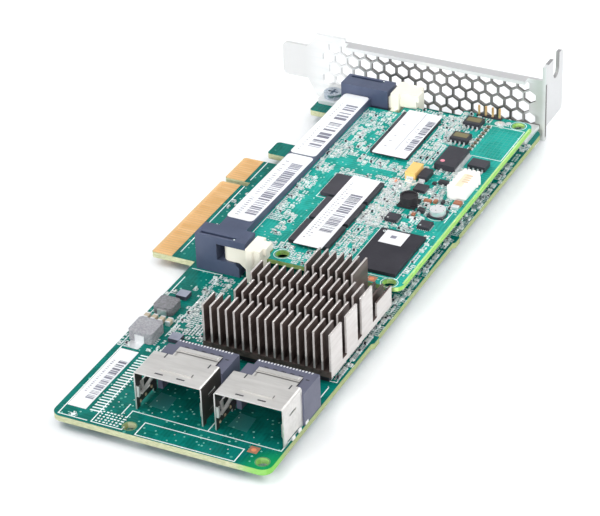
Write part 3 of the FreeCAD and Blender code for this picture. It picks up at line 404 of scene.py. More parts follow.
# Moulded plastics, resins, ceramics and prints: darker shade, lighter shade, roughness, gloss
MOULDED = {
    "chip_resin": ((0.028, 0.027, 0.035), (0.045, 0.043, 0.054), 0.42, 0.3),
    "storage_resin": ((0.016, 0.015, 0.022), (0.028, 0.027, 0.036), 0.45, 0.25),
    "resistor_black": ((0.025, 0.025, 0.03), (0.045, 0.045, 0.055), 0.4, 0.3),
    "brown_resin": ((0.13, 0.085, 0.05), (0.20, 0.14, 0.09), 0.4, 0.5),
    "yellow_resin": ((0.85, 0.52, 0.16), (0.92, 0.62, 0.24), 0.4, 0.5),
    "pad_rubber": ((0.30, 0.30, 0.32), (0.36, 0.36, 0.38), 0.7, 0.5),
    "dark_plastic": ((0.078, 0.084, 0.13), (0.11, 0.115, 0.165), 0.45, 0.5),
    "slate_plastic": ((0.045, 0.060, 0.11), (0.065, 0.082, 0.14), 0.45, 0.5),
    "ivory_plastic": ((0.80, 0.77, 0.66), (0.86, 0.83, 0.73), 0.4, 0.5),
    "white_plastic": ((0.82, 0.80, 0.77), (0.88, 0.86, 0.83), 0.4, 0.5),
    "beige_plastic": ((0.80, 0.64, 0.46), (0.86, 0.72, 0.54), 0.4, 0.5),
    "contact_row": ((0.62, 0.47, 0.30), (0.70, 0.55, 0.38), 0.45, 0.5),
    "cap_ceramic": ((0.48, 0.40, 0.29), (0.60, 0.51, 0.39), 0.5, 0.5),
    "pale_ceramic": ((0.52, 0.57, 0.53), (0.68, 0.72, 0.68), 0.5, 0.5),
    "white_ink": ((0.72, 0.82, 0.80), (0.84, 0.90, 0.89), 0.6, 0.5),
    "dark_ink": ((0.12, 0.12, 0.16), (0.22, 0.22, 0.28), 0.6, 0.5),
    "olive_print": ((0.15, 0.13, 0.055), (0.22, 0.19, 0.09), 0.45, 0.5),
    "pink_dot": ((0.85, 0.25, 0.33), (0.92, 0.36, 0.42), 0.45, 0.5),
    "brown_mark": ((0.34, 0.12, 0.06), (0.44, 0.18, 0.10), 0.4, 0.5),
    "covered_via": ((0.12, 0.44, 0.37), (0.24, 0.56, 0.48), 0.3, 0.5),
    # Painted reflection: the paler green of the patches on the board inside the cages.
    "floor_reflection_tone": ((0.010, 0.145, 0.130), (0.02, 0.19, 0.175), 0.35, 0.5),
    "field_line": ((0.012, 0.29, 0.245), (0.02, 0.34, 0.285), 0.35, 0.5),
    "hole_rim": ((0.10, 0.22, 0.09), (0.20, 0.32, 0.14), 0.4, 0.5),
    "bare_laminate": ((0.34, 0.60, 0.17), (0.52, 0.72, 0.27), 0.5, 0.5),
    "tan_blob": ((0.34, 0.28, 0.18), (0.50, 0.42, 0.28), 0.35, 0.5),
    "tan_bed": ((0.70, 0.42, 0.17), (0.80, 0.50, 0.22), 0.4, 0.5),
}

# Plated and bare metals: darker shade, lighter shade, roughness, how much is bare metal
METALS = {
    "zinc_screw": ((0.44, 0.50, 0.58), (0.60, 0.66, 0.72), 0.28, 1.0),
    "spring_steel": ((0.70, 0.685, 0.66), (0.82, 0.805, 0.78), 0.35, 0.7),
    "tinned_metal": ((0.76, 0.77, 0.78), (0.90, 0.91, 0.92), 0.34, 0.7),
    "can_aluminium": ((0.84, 0.85, 0.86), (0.92, 0.92, 0.93), 0.3, 0.7),
    "copper_mark": ((0.80, 0.26, 0.12), (0.92, 0.38, 0.20), 0.4, 0.4),
}


def make_finishes():
    finishes = {name: moulded(name, *values) for name, values in MOULDED.items()}
    finishes.update({name: metal(name, *values) for name, values in METALS.items()})
    # The main board's mask gets a painted glow near its near right corner.
    finishes["solder_mask"] = lacquer(
        "green_lacquer", dark=(0.001, 0.118, 0.095), light=(0.002, 0.160, 0.133),
        tracks_tone=(0.004, 0.235, 0.195), via_tone=(0.10, 0.42, 0.33),
        edge_low=(0.42, 0.45, 0.26), edge_high=(0.60, 0.61, 0.41), shaded_side_tone=(0.20, 0.27, 0.07),
        track_share=0.2, corner=(0.0695, -0.1108))
    finishes["module_mask"] = lacquer(
        "teal_lacquer", dark=(0.006, 0.245, 0.20), light=(0.010, 0.32, 0.27),
        tracks_tone=(0.03, 0.45, 0.38), via_tone=(0.45, 0.72, 0.66),
        edge_low=(0.34, 0.58, 0.16), edge_high=(0.55, 0.74, 0.30), shaded_side_tone=(0.18, 0.48, 0.06),
        track_share=0.3)
    finishes["power_resin"] = top_lit_resin("power_resin", (0.05, 0.05, 0.075), (0.30, 0.32, 0.40))
    finishes["ferrite"] = moulded("ferrite", (0.016, 0.015, 0.018), (0.034, 0.032, 0.036),
                                  0.5, 0.3, 2500.0, 0.5)
    finishes["coil_grey"] = pressed_powder("coil_grey", (0.24, 0.24, 0.26), (0.38, 0.38, 0.40))
    finishes["coil_dark"] = pressed_powder("coil_dark", (0.13, 0.13, 0.14), (0.22, 0.22, 0.235))
    finishes["gold_plate"] = gold_plate()
    finishes["bright_steel"] = bracket_steel()
    finishes["cage_steel"] = folded_steel()
    finishes["black_anodised"] = anodised()
    finishes["label_paper"] = paper()
    return finishes


FINISHES = make_finishes()
OWN_FINISH = {"cache_board": "module_mask", "power_chips": "power_resin",
              "storage_chip": "storage_resin"}


def dress_nodes():
    """Give every CAD node the finish of its slot, and three of them a finish of their own."""
    slots = {item["node"]: item["material_slot"] for item in frame["record"]["subparts"]}
    for name, obj in NODES.items():
        obj.data.materials.clear()
        obj.data.materials.append(FINISHES[OWN_FINISH.get(name, slots[name])])


# Mesh building, with every length in millimetres

NEAR_END = -110.8
BOARD_TOP = 0.0
BOARD_BACK = -1.57
MODULE_TOP = 5.5
HOUSING_TOP = 8.7
BOARD_LABEL_TOP = 0.1
CHIP_LABEL_TOP = 6.7
BAR_LABEL_TOP = 7.5
PAPER = 0.09
SILK = 0.02
INK = 0.012
PLANES = {"XY": (0, 1, 2), "YZ": (1, 2, 0)}
RANDOM = random.Random(7)
# How far a rim comes in for each millimetre of edge
DRAW_IN = 1.4
# The least cosine a mitre is worked out with, so that a sharp corner doesn't run far out
SHARPEST = 0.35


class Pile:
    """Solids gathered into one mesh, in millimetres, with Y counted from the card's near end."""

    def __init__(self):
        self.points = []
        self.faces = []

    def _loft(self, rings, plane):
        """Closed solid through rings of flat points at rising depths."""
        order = PLANES[plane]
        first = len(self.points)
        count = len(rings[0][0])
        for flat, depth in rings:
            for a, b in flat:
                point = [0.0, 0.0, 0.0]
                point[order[0]], point[order[1]], point[order[2]] = a, b, depth
                self.points.append(point)
        for level in range(len(rings) - 1):
            low = first + level * count
            for i in range(count):
                j = (i + 1) % count
                self.faces.append((low + i, low + j, low + count + j, low + count + i))
        last = first + (len(rings) - 1) * count
        self.faces.append(tuple(range(first + count - 1, first - 1, -1)))
        self.faces.append(tuple(range(last, last + count)))

    def prism(self, flat, start, depth, plane="XY", edge=0.0):
        """An outline pushed along the plane's normal, with its far rim drawn in by edge."""
        rings = [(flat, start), (flat, start + depth - edge)]
        if edge:
            middle = [sum(p[k] for p in flat) / len(flat) for k in (0, 1)]
            reach = max(math.dist(p, middle) for p in flat)
            share = 1.0 - edge / reach * DRAW_IN
            inner = [tuple(middle[k] + (p[k] - middle[k]) * share for k in (0, 1)) for p in flat]
            rings.append((inner, start + depth))
        self._loft(rings, plane)

    def block(self, low, size, edge=0.0, turn=0.0):
        """An upright box, turned by some degrees about its middle."""
        middle = (low[0] + size[0] / 2, low[1] + size[1] / 2)
        c, s = math.cos(math.radians(turn)), math.sin(math.radians(turn))
        flat = []
        for a, b in ((-1, -1), (1, -1), (1, 1), (-1, 1)):
            x, y = a * size[0] / 2, b * size[1] / 2
            flat.append((middle[0] + x * c - y * s, middle[1] + x * s + y * c))
        self.prism(flat, low[2], size[2], "XY", edge)

    def disc(self, x, y, z, radius, tall, sides=14, edge=0.0, plane="XY"):
        """A short round post on a plane."""
        turns = [math.tau * i / sides for i in range(sides)]
        flat = [(x + radius * math.cos(t), y + radius * math.sin(t)) for t in turns]
        self.prism(flat, z, tall, plane, edge)

    def ring(self, x, y, z, inner, outer, tall, sides=28):
        """A flat washer."""
        first = len(self.points)
        for depth, radius in ((z, outer), (z + tall, outer), (z + tall, inner), (z, inner)):
            for i in range(sides):
                t = math.tau * i / sides
                self.points.append([x + radius * math.cos(t), y + radius * math.sin(t), depth])
        for level in range(4):
            low, high = first + level * sides, first + (level + 1) % 4 * sides
            for i in range(sides):
                j = (i + 1) % sides
                self.faces.append((low + i, low + j, high + j, high + i))

    def strip(self, line, width, start, depth, plane="XY"):
        """A ribbon of even width along a bent line, with mitred corners."""
        left, right = [], []
        for i, here in enumerate(line):
            before = line[max(i - 1, 0)]
            after = line[min(i + 1, len(line) - 1)]
            way_in = Vector(here) - Vector(before) if i else Vector(after) - Vector(here)
            way_out = Vector(after) - Vector(here) if i < len(line) - 1 else way_in
            way_in.normalize()
            way_out.normalize()
            middle = (way_in + way_out).normalized()
            across = Vector((-middle.y, middle.x))
            reach = width / 2 / max(SHARPEST, middle.dot(way_in))
            left.append(tuple(Vector(here) + across * reach))
            right.append(tuple(Vector(here) - across * reach))
        for i in range(len(line) - 1):
            flat = [left[i], right[i], right[i + 1], left[i + 1]]
            self._loft([(flat, start), (flat, start + depth)], plane)

    def piece(self, name, slot, body, material, bevel=0.0):
        """The pile as one object that rides on a body."""
        mesh = bpy.data.meshes.new(name)
        points = [(x * MM, (y + NEAR_END) * MM, z * MM) for x, y, z in self.points]
        mesh.from_pydata(points, [], self.faces)
        work = bmesh.new()
        work.from_mesh(mesh)
        bmesh.ops.recalc_face_normals(work, faces=work.faces)
        work.to_mesh(mesh)
        work.free()
        mesh.materials.append(material)
        obj = bpy.data.objects.new(name, mesh)
        bpy.context.scene.collection.objects.link(obj)
        if bevel:
            soft = obj.modifiers.new("soft_edges", "BEVEL")
            soft.width = bevel * MM
            soft.segments = 2
        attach(obj, body)
        return obj


def node_tree():
    """Every CAD solid in one search tree, to see what is already on a spot."""
    points, faces = [], []
    for obj in NODES.values():
        first = len(points)
        points.extend(v.co.copy() for v in obj.data.vertices)
        faces.extend([first + i for i in face.vertices] for face in obj.data.polygons)
    return BVHTree.FromPolygons(points, faces)


TREE = node_tree()


def bare(x, y, level, half_x, half_y, tall):
    """Is this spot on a board free of other solids, with the board below all of it?"""
    down = Vector((0, 0, -1))
    for a, b in ((0, 0), (-1, -1), (1, -1), (1, 1), (-1, 1)):
        spot = [(x + a * half_x) * MM, (y + b * half_y + NEAR_END) * MM]
        above = TREE.ray_cast(Vector((*spot, (level + tall) * MM)), down, (tall - 0.04) * MM)
        below = TREE.ray_cast(Vector((*spot, (level + 0.03) * MM)), down, 0.1 * MM)
        if above[0] is not None or below[0] is None:
            return False
    return True


# Print on the boards

MAIN_LINES = (
    ((29.8, 5.4), (29.8, 8.4), (68.2, 8.1), (68.2, 21.8), (67.3, 22.0), (67.3, 34.8)),
    ((34.7, 0.5), (60.2, 0.5), (60.2, 5.5), (34.7, 5.5), (34.7, 0.4)),
    ((14.2, 32.0), (14.2, 1.0), (21.9, 1.0)),
    ((31.0, 2.2), (31.0, 1.0), (22.9, 1.0), (22.9, 33.0)),
    ((28.0, 6.2), (28.0, 10.6)),
    ((49.4, 8.3), (49.4, 14.0)),
    ((13.3, 68.2), (21.8, 68.3), (21.8, 38.6)),
    ((65.6, 37.2), (68.2, 37.3), (67.5, 47.0), (67.5, 86.0)),
    ((7.0, 74.0), (7.0, 109.6)),
    ((7.0, 113.0), (7.0, 124.0)),
    ((13.6, 64.0), (13.6, 31.5)),
)
MODULE_LINES = (
    ((23.9, 81.8), (23.9, 115.6)),
    ((23.9, 116.9), (23.9, 152.0)),
    ((33.5, 80.3), (33.5, 104.2), (30.9, 104.2), (30.9, 116.0), (46.0, 116.0), (46.0, 80.3)),
    ((33.5, 129.4), (33.5, 153.0)),
    ((46.0, 129.4), (46.0, 153.0)),
    ((52.8, 75.5), (52.8, 96.0), (66.4, 96.0), (66.4, 75.5), (52.8, 75.5)),
    ((57.9, 139.2), (68.0, 139.2), (68.0, 156.2), (57.9, 156.2), (57.9, 139.2)),
    ((60.6, 110.6), (66.6, 110.6), (66.6, 104.6)),
    ((51.2, 113.6), (51.2, 98.6), (57.2, 98.6)),
)
BOARD_HOLES = ((32.0, 2.9), (66.1, 2.9))
MODULE_HOLES = ((65.3, 73.7), (35.4, 75.35), (65.3, 158.6))
CAN_CENTRE = (63.6, 107.6)
STRIPES_START = (20.4, 4.9)
STRIPES_PITCH = 1.09
DASHES_START = (23.6, 1.6)
DASHES_PITCH = 0.95
SPECKLED_DOT = (17.7, 1.9)


def silk_print():
    """White lines round the parts, the comb beside the label, the field of dashes and a dot."""
    main, module = Pile(), Pile()
    for line in MAIN_LINES:
        main.strip(line, 0.26, BOARD_TOP, SILK)
    for line in MODULE_LINES:
        module.strip(line, 0.2, MODULE_TOP, SILK)
    x, y = STRIPES_START
    for i in range(23):
        main.block((x, y + STRIPES_PITCH * i, BOARD_TOP), (3.1, 0.42, 0.03), 0.0, 3.0)
    x, y = DASHES_START
    for row in range(5):
        for i in range(7):
            low = (x + i * DASHES_PITCH, y + row * DASHES_PITCH, BOARD_TOP)
            main.block(low, (RANDOM.uniform(0.35, 0.8), 0.42, SILK))
    for x, y in MODULE_HOLES:
        module.ring(x, y, MODULE_TOP, 2.1, 2.25, SILK)
    module.ring(*CAN_CENTRE, MODULE_TOP, 2.75, 2.95, SILK)
    x, y = SPECKLED_DOT
    main.disc(x, y, BOARD_TOP, 0.55, 0.03, 18)
    for i in range(26):
        turn, reach = RANDOM.uniform(0.0, math.tau), RANDOM.uniform(0.6, 1.1)
        main.disc(x + reach * math.cos(turn), y + reach * math.sin(turn), BOARD_TOP, 0.12, 0.03, 6)
    main.piece("board_print", "label_paper", "board", FINISHES["white_ink"])
    module.piece("module_print", "label_paper", "board", FINISHES["white_ink"])


def plated_rings():
    """The worn rims round the holes of both boards."""
    rings = Pile()
    for x, y in BOARD_HOLES:
        rings.ring(x, y, BOARD_TOP, 1.5, 1.8, 0.02)
    for x, y in MODULE_HOLES:
        rings.ring(x, y, MODULE_TOP, 1.65, 1.85, 0.03)
    rings.piece("hole_rings", "gold_plate", "board", FINISHES["hole_rim"])


def sight_marks():
    """Round copper marks in bare squares, used to line the boards up."""
    squares, dots = Pile(), Pile()
    for x, y, z in ((62.3, 6.1, BOARD_TOP), (46.4, 119.3, MODULE_TOP), (60.6, 73.7, MODULE_TOP)):
        squares.block((x - 1.2, y - 1.2, z), (2.4, 2.4, 0.02))
        dots.disc(x, y, z + 0.02, 0.62, 0.03, 20)
    squares.piece("sight_squares", "solder_mask", "board", FINISHES["brown_mark"])
    dots.piece("sight_dots", "gold_plate", "board", FINISHES["copper_mark"])


# Small parts

# Each field: its low X and Y, its high X and Y, and how full it is
MAIN_FIELDS = (
    (13.2, 31.5, 24.6, 36.5, 0.5), (22.4, 40.0, 33.6, 57.0, 0.72), (21.0, 57.5, 26.5, 68.0, 0.55),
    (13.2, 45.5, 22.0, 60.0, 0.2), (66.0, 38.5, 68.4, 160.0, 0.9), (24.6, 28.8, 33.0, 36.0, 0.5),
    (13.2, 76.0, 14.6, 160.0, 0.3), (36.0, 74.0, 66.0, 158.0, 0.3), (8.0, 84.0, 14.0, 108.0, 0.12),
)
MODULE_FIELDS = (
    (24.3, 90.0, 28.0, 113.0, 0.85), (24.3, 117.0, 28.5, 152.0, 0.85),
    (28.6, 126.0, 33.4, 153.0, 0.55), (28.6, 82.0, 31.0, 94.0, 0.7),
    (30.0, 77.5, 44.0, 80.6, 0.8), (46.4, 79.0, 51.2, 160.0, 0.9),
    (33.6, 124.0, 45.6, 128.4, 0.85), (31.0, 116.4, 46.0, 120.0, 0.6),
    (46.0, 97.0, 61.0, 120.0, 0.7), (57.5, 103.5, 62.0, 131.0, 0.65),
    (62.0, 110.6, 68.0, 115.5, 0.7), (65.2, 78.0, 67.9, 97.5, 0.85),
    (51.5, 126.8, 61.5, 129.0, 0.6), (33.6, 153.8, 48.0, 157.2, 0.8),
    (49.0, 140.0, 57.5, 160.5, 0.5), (52.0, 72.6, 59.0, 75.4, 0.6),
    (38.0, 73.0, 51.0, 77.0, 0.5), (60.5, 156.4, 63.0, 160.3, 0.4),
)
# Each field of vias: the board's top, low X and Y, high X and Y, and pitch
VIA_FIELDS = ((BOARD_TOP, 13.4, 1.0, 69.0, 72.0, 2.05), (BOARD_TOP, 7.4, 74.0, 14.0, 122.0, 1.9),
              (MODULE_TOP, 24.4, 73.0, 68.0, 160.0, 1.9))
PLAIN_BAND = (25.0, 120.3, 46.0, 123.8)
PLAIN_FIELD = (58.0, 139.0, 69.0, 156.0)
PART_PITCH = 0.8
PART_LENGTH = 1.06
PART_WIDTH = 0.5
SAME_WAY = 2.9


def inside(field, x, y):
    """Is the place between the field's low and high corners?"""
    return field[0] < x < field[2] and field[1] < y < field[3]


def scatter(fields, level, piles):
    """Small chip parts and bare pads in rows, in blocks that lie one way or the other."""
    ways = {}
    for x0, y0, x1, y1, share in fields:
        for i in range(int((x1 - x0) / PART_PITCH) + 1):
            for j in range(int((y1 - y0) / PART_PITCH) + 1):
                x, y = x0 + i * PART_PITCH, y0 + j * PART_PITCH
                key = (int(x / SAME_WAY), int(y / SAME_WAY), level)
                across = ways.setdefault(key, RANDOM.random() < 0.5)
                if (i if across else j) % 2 or RANDOM.random() > share:
                    continue
                if level and inside(PLAIN_BAND, x, y):
                    continue
                half = (0.62, 0.3) if across else (0.3, 0.62)
                if bare(x, y, level, *half, 1.2):
                    small_part(x, y, level, across, piles)


def small_part(x, y, level, across, piles):
    """Two bare pads, or on them a ceramic or a black part with bright ends."""
    kind = RANDOM.random()
    tall = RANDOM.choice((0.3, 0.42, 0.5))

    def lay(pile, start, shift, low, size, edge=0.0):
        length, width, height = size
        if across:
            pile.block((x + start, y + shift, low), (length, width, height), edge)
        else:
            pile.block((x + shift, y + start, low), (width, length, height), edge)

    if RANDOM.random() < 0.5:
        for side in (-0.5, 0.5):
            lay(piles["ink"], -0.55, side - 0.06, level, (1.1, 0.13, SILK))
    wide = PART_WIDTH + 0.12
    for start in (-PART_LENGTH / 2 - 0.1, PART_LENGTH / 2 - 0.36):
        lay(piles["pads"], start, -wide / 2, level, (0.46, wide, 0.03))
    if kind < 0.6:
        return
    body = "ceramic" if kind < 0.92 else "resistor"
    lay(piles[body], -PART_LENGTH / 2 + 0.2, -PART_WIDTH / 2, level + 0.03,
        (PART_LENGTH - 0.4, PART_WIDTH, tall), 0.03)
    wide = PART_WIDTH + 0.01
    for start in (-PART_LENGTH / 2, PART_LENGTH / 2 - 0.22):
        lay(piles["pads"], start, -wide / 2, level + 0.03, (0.22, wide, tall + 0.01), 0.03)


def via_field(piles):
    """Covered vias as low discs, and a few bare ones."""
    for level, x0, y0, x1, y1, pitch in VIA_FIELDS:
        for i in range(int((x1 - x0) / pitch)):
            for j in range(int((y1 - y0) / pitch)):
                if RANDOM.random() > 0.55:
                    continue
                x = x0 + (i + RANDOM.uniform(0.1, 0.9)) * pitch
                y = y0 + (j + RANDOM.uniform(0.1, 0.9)) * pitch
                if not bare(x, y, level, 0.3, 0.3, 1.0) or level and inside(PLAIN_FIELD, x, y):
                    continue
                share = 0.45 if level else 0.12
                if RANDOM.random() < share:
                    piles["pads"].disc(x, y, level, 0.17, 0.025, 10)
                else:
                    piles["vias"].disc(x, y, level, RANDOM.uniform(0.2, 0.3), 0.015, 10)


def small_parts():
    """The crowd of small parts, pads, vias and the lines beside them, one piece of each kind."""
    piles = {name: Pile() for name in ("pads", "ceramic", "resistor", "vias", "ink")}
    scatter(MAIN_FIELDS, 0.0, piles)
    scatter(MODULE_FIELDS, MODULE_TOP, piles)
    via_field(piles)
    for name, slot, finish in (("pads", "tinned_metal", "tinned_metal"),
                               ("ceramic", "cap_ceramic", "pale_ceramic"),
                               ("ink", "label_paper", "white_ink"),
                               ("resistor", "chip_resin", "resistor_black"),
                               ("vias", "solder_mask", "covered_via")):
        piles[name].piece("small_" + name, slot, "board", FINISHES[finish])


# Labels

def rounded(low, high, radius, turn=0.0):
    """The outline of a rectangle with round corners, turned about its middle."""
    middle = [(low[k] + high[k]) / 2 for k in (0, 1)]
    half = [(high[k] - low[k]) / 2 - radius for k in (0, 1)]
    c, s = math.cos(math.radians(turn)), math.sin(math.radians(turn))
    flat = []
    for a, b, start in ((1, 1, 0), (-1, 1, 90), (-1, -1, 180), (1, -1, 270)):
        for step in range(5):
            t = math.radians(start + 22.5 * step)
            x = a * half[0] + radius * math.cos(t)
            y = b * half[1] + radius * math.sin(t)
            flat.append((middle[0] + x * c - y * s, middle[1] + x * s + y * c))
    return flat


def paper_labels():
    """The labels on the socket's bar, laid by hand and not quite straight, and on the chips."""
    bar, chips = Pile(), Pile()
    low = BAR_LABEL_TOP - PAPER
    bar.prism(rounded((15.75, 83.3), (23.25, 118.6), 1.1, -0.9), low, PAPER)
    bar.prism(rounded((15.75, 119.3), (23.25, 154.5), 1.1, 0.4), low, PAPER)
    labels = bar.piece("bar_labels", "label_paper", "board", FINISHES["label_paper"])
    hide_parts("socket_labels")
    low = CHIP_LABEL_TOP - PAPER
    chips.prism(rounded((36.25, 79.6), (44.1, 115.6), 0.3), low, PAPER)
    chips.prism(rounded((35.35, 128.9), (45.15, 153.8), 0.3), low, PAPER)
    labels = chips.piece("chip_paper", "label_paper", "board", FINISHES["label_paper"])
    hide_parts("memory_labels")


def bars(pile, x, y, across, along, level, scale=1.0):
    """Barcode stripes that lie across the label."""
    end = y + along
    while y < end:
        wide = RANDOM.choice((0.16, 0.3, 0.5, 0.75)) * scale
        pile.block((x, y, level), (across, wide, INK))
        y += wide + RANDOM.choice((0.18, 0.3, 0.55)) * scale


def ticks(pile, x, y, along, level, step=0.75, size=0.5):
    """A row of short plain strokes where a label has a printed line."""
    place = y
    while place < y + along:
        if RANDOM.random() < 0.85:
            pile.block((x, place, level), (size, RANDOM.uniform(0.16, 0.34), INK))
        place += step


def label_print():
    """Plain bars and strokes on every label; none of them spells anything."""
    ink = Pile()
    bars(ink, 16.9, 8.6, 2.1, 17.0, BOARD_LABEL_TOP)
    ticks(ink, 15.4, 11.0, 14.5, BOARD_LABEL_TOP)
    bars(ink, 19.2, 86.4, 3.2, 27.5, BAR_LABEL_TOP)
    ticks(ink, 17.1, 85.2, 30.0, BAR_LABEL_TOP, 1.0, 1.0)
    for y, along in ((124.0, 4.0), (129.2, 3.2), (133.4, 4.4), (140.0, 3.6), (145.4, 3.0)):
        bars(ink, 18.9, y, 3.5, along, BAR_LABEL_TOP, 1.7)
    ticks(ink, 17.2, 121.5, 29.0, BAR_LABEL_TOP, 1.3, 0.4)
    bars(ink, 39.7, 87.2, 3.4, 19.3, CHIP_LABEL_TOP, 1.1)
    ticks(ink, 37.4, 83.0, 29.5, CHIP_LABEL_TOP, 0.9, 0.5)
    ticks(ink, 38.3, 84.2, 25.0, CHIP_LABEL_TOP, 1.3, 0.6)
    bars(ink, 42.8, 133.0, 2.1, 16.6, CHIP_LABEL_TOP, 1.1)
    ticks(ink, 41.6, 137.0, 9.0, CHIP_LABEL_TOP, 1.5, 0.7)
    ticks(ink, 37.1, 133.0, 14.0, CHIP_LABEL_TOP, 3.1, 0.8)
    ink.strip(((40.7, 132.0), (40.7, 153.2)), 0.14, CHIP_LABEL_TOP, INK)
    ink.block((57.6, 91.2, 6.6), (1.5, 1.3, INK))
    ink.piece("label_print", "label_paper", "board", FINISHES["dark_ink"])


# Marks and small pieces on the chips

DRIVER_CHIPS = ((51.5, 143.6), (51.5, 152.7))
SQUARE_CHIPS = ((52.2, 99.7), (61.3, 99.4), (53.0, 115.8))
LEAD_PITCH = 0.45


def chip_marks():
    """Small rings and a dot that mark a corner, and the drivers' worn tops."""
    white, pink, olive = Pile(), Pile(), Pile()
    white.ring(55.0, 93.9, 6.5, 0.25, 0.45, INK, 16)
    white.ring(52.9, 100.5, 6.4, 0.1, 0.22, INK, 12)
    white.ring(62.0, 100.2, 6.4, 0.1, 0.22, INK, 12)
    white.piece("chip_marks", "label_paper", "board", FINISHES["white_ink"])
    pink.disc(54.9, 131.0, 7.2, 0.62, 0.02, 20)
    pink.piece("test_dot", "chip_resin", "board", FINISHES["pink_dot"])
    for x, y in DRIVER_CHIPS:
        olive.block((x + 0.5, y + 1.2, 6.95), (3.9, 2.2, 0.02), 0.01)
    olive.piece("driver_prints", "chip_resin", "board", FINISHES["olive_print"])


def lead_rows():
    """Fine leads along the link chip and round the small square chips."""
    leads = Pile()
    for foot, knee in ((52.6, 53.2), (59.2, 59.2)):
        for i in range(22):
            y = 129.1 + i * LEAD_PITCH
            leads.block((foot, y, MODULE_TOP), (0.8, 0.26, 0.14))
            leads.block((knee, y, MODULE_TOP), (0.2, 0.26, 0.8))
    for x, y in SQUARE_CHIPS:
        for i in range(6):
            step = 0.3 + i * 0.5
            for side in (-0.28, 3.24):
                leads.block((x + step, y + side, MODULE_TOP), (0.22, 0.34, 0.12))
                leads.block((x + side, y + step, MODULE_TOP), (0.34, 0.22, 0.12))
    leads.piece("fine_leads", "tinned_metal", "board", FINISHES["tinned_metal"])


def oval_pads():
    """The two oval pads by the far hole and the large pad in front of the big coil."""
    pads = Pile()
    pads.prism(rounded((15.0, 30.9), (18.6, 34.0), 0.5), BOARD_TOP, 0.05)
    turns = [math.tau * i / 24 for i in range(24)]
    for x, y, rx, ry in ((60.2, 158.0, 1.5, 1.3), (62.3, 158.9, 0.75, 0.8)):
        oval = [(x + rx * math.cos(t), y + ry * math.sin(t)) for t in turns]
        pads.prism(oval, MODULE_TOP, 0.04)
    pads.piece("oval_pads", "tinned_metal", "board", FINISHES["tinned_metal"])


def resistor_row():
    """The row of brown resistors along the plain teal field."""
    brown, ends = Pile(), Pile()
    for i in range(8):
        y = 141.4 + i * 1.85
        brown.block((57.75, y, MODULE_TOP), (1.0, 0.9, 0.45), 0.04)
        for x in (57.5, 58.73):
            ends.block((x, y - 0.02, MODULE_TOP), (0.27, 0.94, 0.47), 0.03)
    brown.piece("brown_resistors", "cap_ceramic", "board", FINISHES["brown_resin"])
    ends.piece("resistor_ends", "tinned_metal", "board", FINISHES["tinned_metal"])


def grid_field():
    """Fine light lines in the plain field by the far hole."""
    lines = Pile()
    for i in range(6):
        lines.block((60.0 + i * 1.3, 140.6, MODULE_TOP), (0.12, 14.4, INK))
    for j in range(11):
        lines.block((59.6, 141.2 + j * 1.3, MODULE_TOP), (7.6, 0.12, INK))
    lines.piece("field_lines", "solder_mask", "board", FINISHES["field_line"])


# The larger loose parts on the module: low X and Y, then length, width and height
LOOSE_DARK = ((57.6, 121.8, 2.6, 1.3, 1.0), (58.2, 106.6, 1.8, 1.6, 1.0),
              (56.2, 121.0, 1.0, 0.9, 0.7), (62.2, 112.6, 0.7, 1.5, 0.8))
LOOSE_BROWN = ((57.7, 112.0, 2.0, 1.0, 0.8), (57.5, 104.4, 0.9, 1.1, 0.7),
               (65.4, 113.2, 2.0, 1.7, 1.0), (60.2, 112.4, 0.9, 1.2, 0.8))
LOOSE_BRIGHT = ((65.4, 111.6, 2.0, 1.2, 0.9), (48.9, 119.4, 2.0, 1.5, 0.3),
                (52.2, 119.9, 1.8, 1.4, 0.3), (57.6, 102.9, 1.0, 0.9, 0.6))


def loose_blocks():
    """The few larger parts between the named ones, and three bright lumps on the outer edge."""
    dark, brown, bright = Pile(), Pile(), Pile()
    for pile, places, edge in ((dark, LOOSE_DARK, 0.08), (brown, LOOSE_BROWN, 0.06),
                               (bright, LOOSE_BRIGHT, 0.06)):
        for x, y, length, width, height in places:
            pile.block((x, y, MODULE_TOP), (length, width, height), edge)
    for y in (12.6, 15.8, 19.4):
        lump = rounded((68.42, y), (68.92, y + 1.5), 0.2)
        bright.prism(lump, BOARD_TOP, 0.75, "XY", 0.12)
    dark.piece("loose_dark_parts", "chip_resin", "board", FINISHES["resistor_black"], 0.05)
    brown.piece("loose_tan_parts", "cap_ceramic", "board", FINISHES["brown_mark"], 0.05)
    bright.piece("loose_bright_parts", "tinned_metal", "board", FINISHES["tinned_metal"], 0.05)


# The ribs round the battery plug: first X and Y, step in X and Y, count, radius and height
PLUG_RIBS = ((61.95, 118.6, 0.0, 1.7, 5, 0.5, 2.5), (62.9, 127.2, 1.25, 0.0, 4, 0.48, 2.9),
             (67.35, 124.2, 0.0, 1.5, 2, 0.48, 2.4))


def battery_plug():
    """The white plug body with round corners, ribs along its sides and its open row."""
    white, ribs, beige = Pile(), Pile(), Pile()
    white.prism(rounded((62.0, 116.0), (67.4, 127.2), 1.5), MODULE_TOP, 2.75)
    white.prism(rounded((62.5, 117.0), (66.9, 126.2), 1.4), MODULE_TOP + 2.75, 0.2)
    for x, y, step_x, step_y, count, radius, tall in PLUG_RIBS:
        for i in range(count):
            ribs.disc(x + i * step_x, y + i * step_y, 5.6, radius, tall, 14, 0.1)
    for i in range(4):
        beige.block((64.6, 120.6 + i * 1.1, 8.45), (1.7, 0.7, 0.06), 0.02)
    body = white.piece("battery_plug", "white_plastic", "board", FINISHES["white_plastic"], 0.5)
    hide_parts("battery_connector")
    ribs.piece("battery_ribs", "white_plastic", "board", FINISHES["white_plastic"], 0.1)
    beige.piece("battery_row", "beige_plastic", "board", FINISHES["contact_row"])


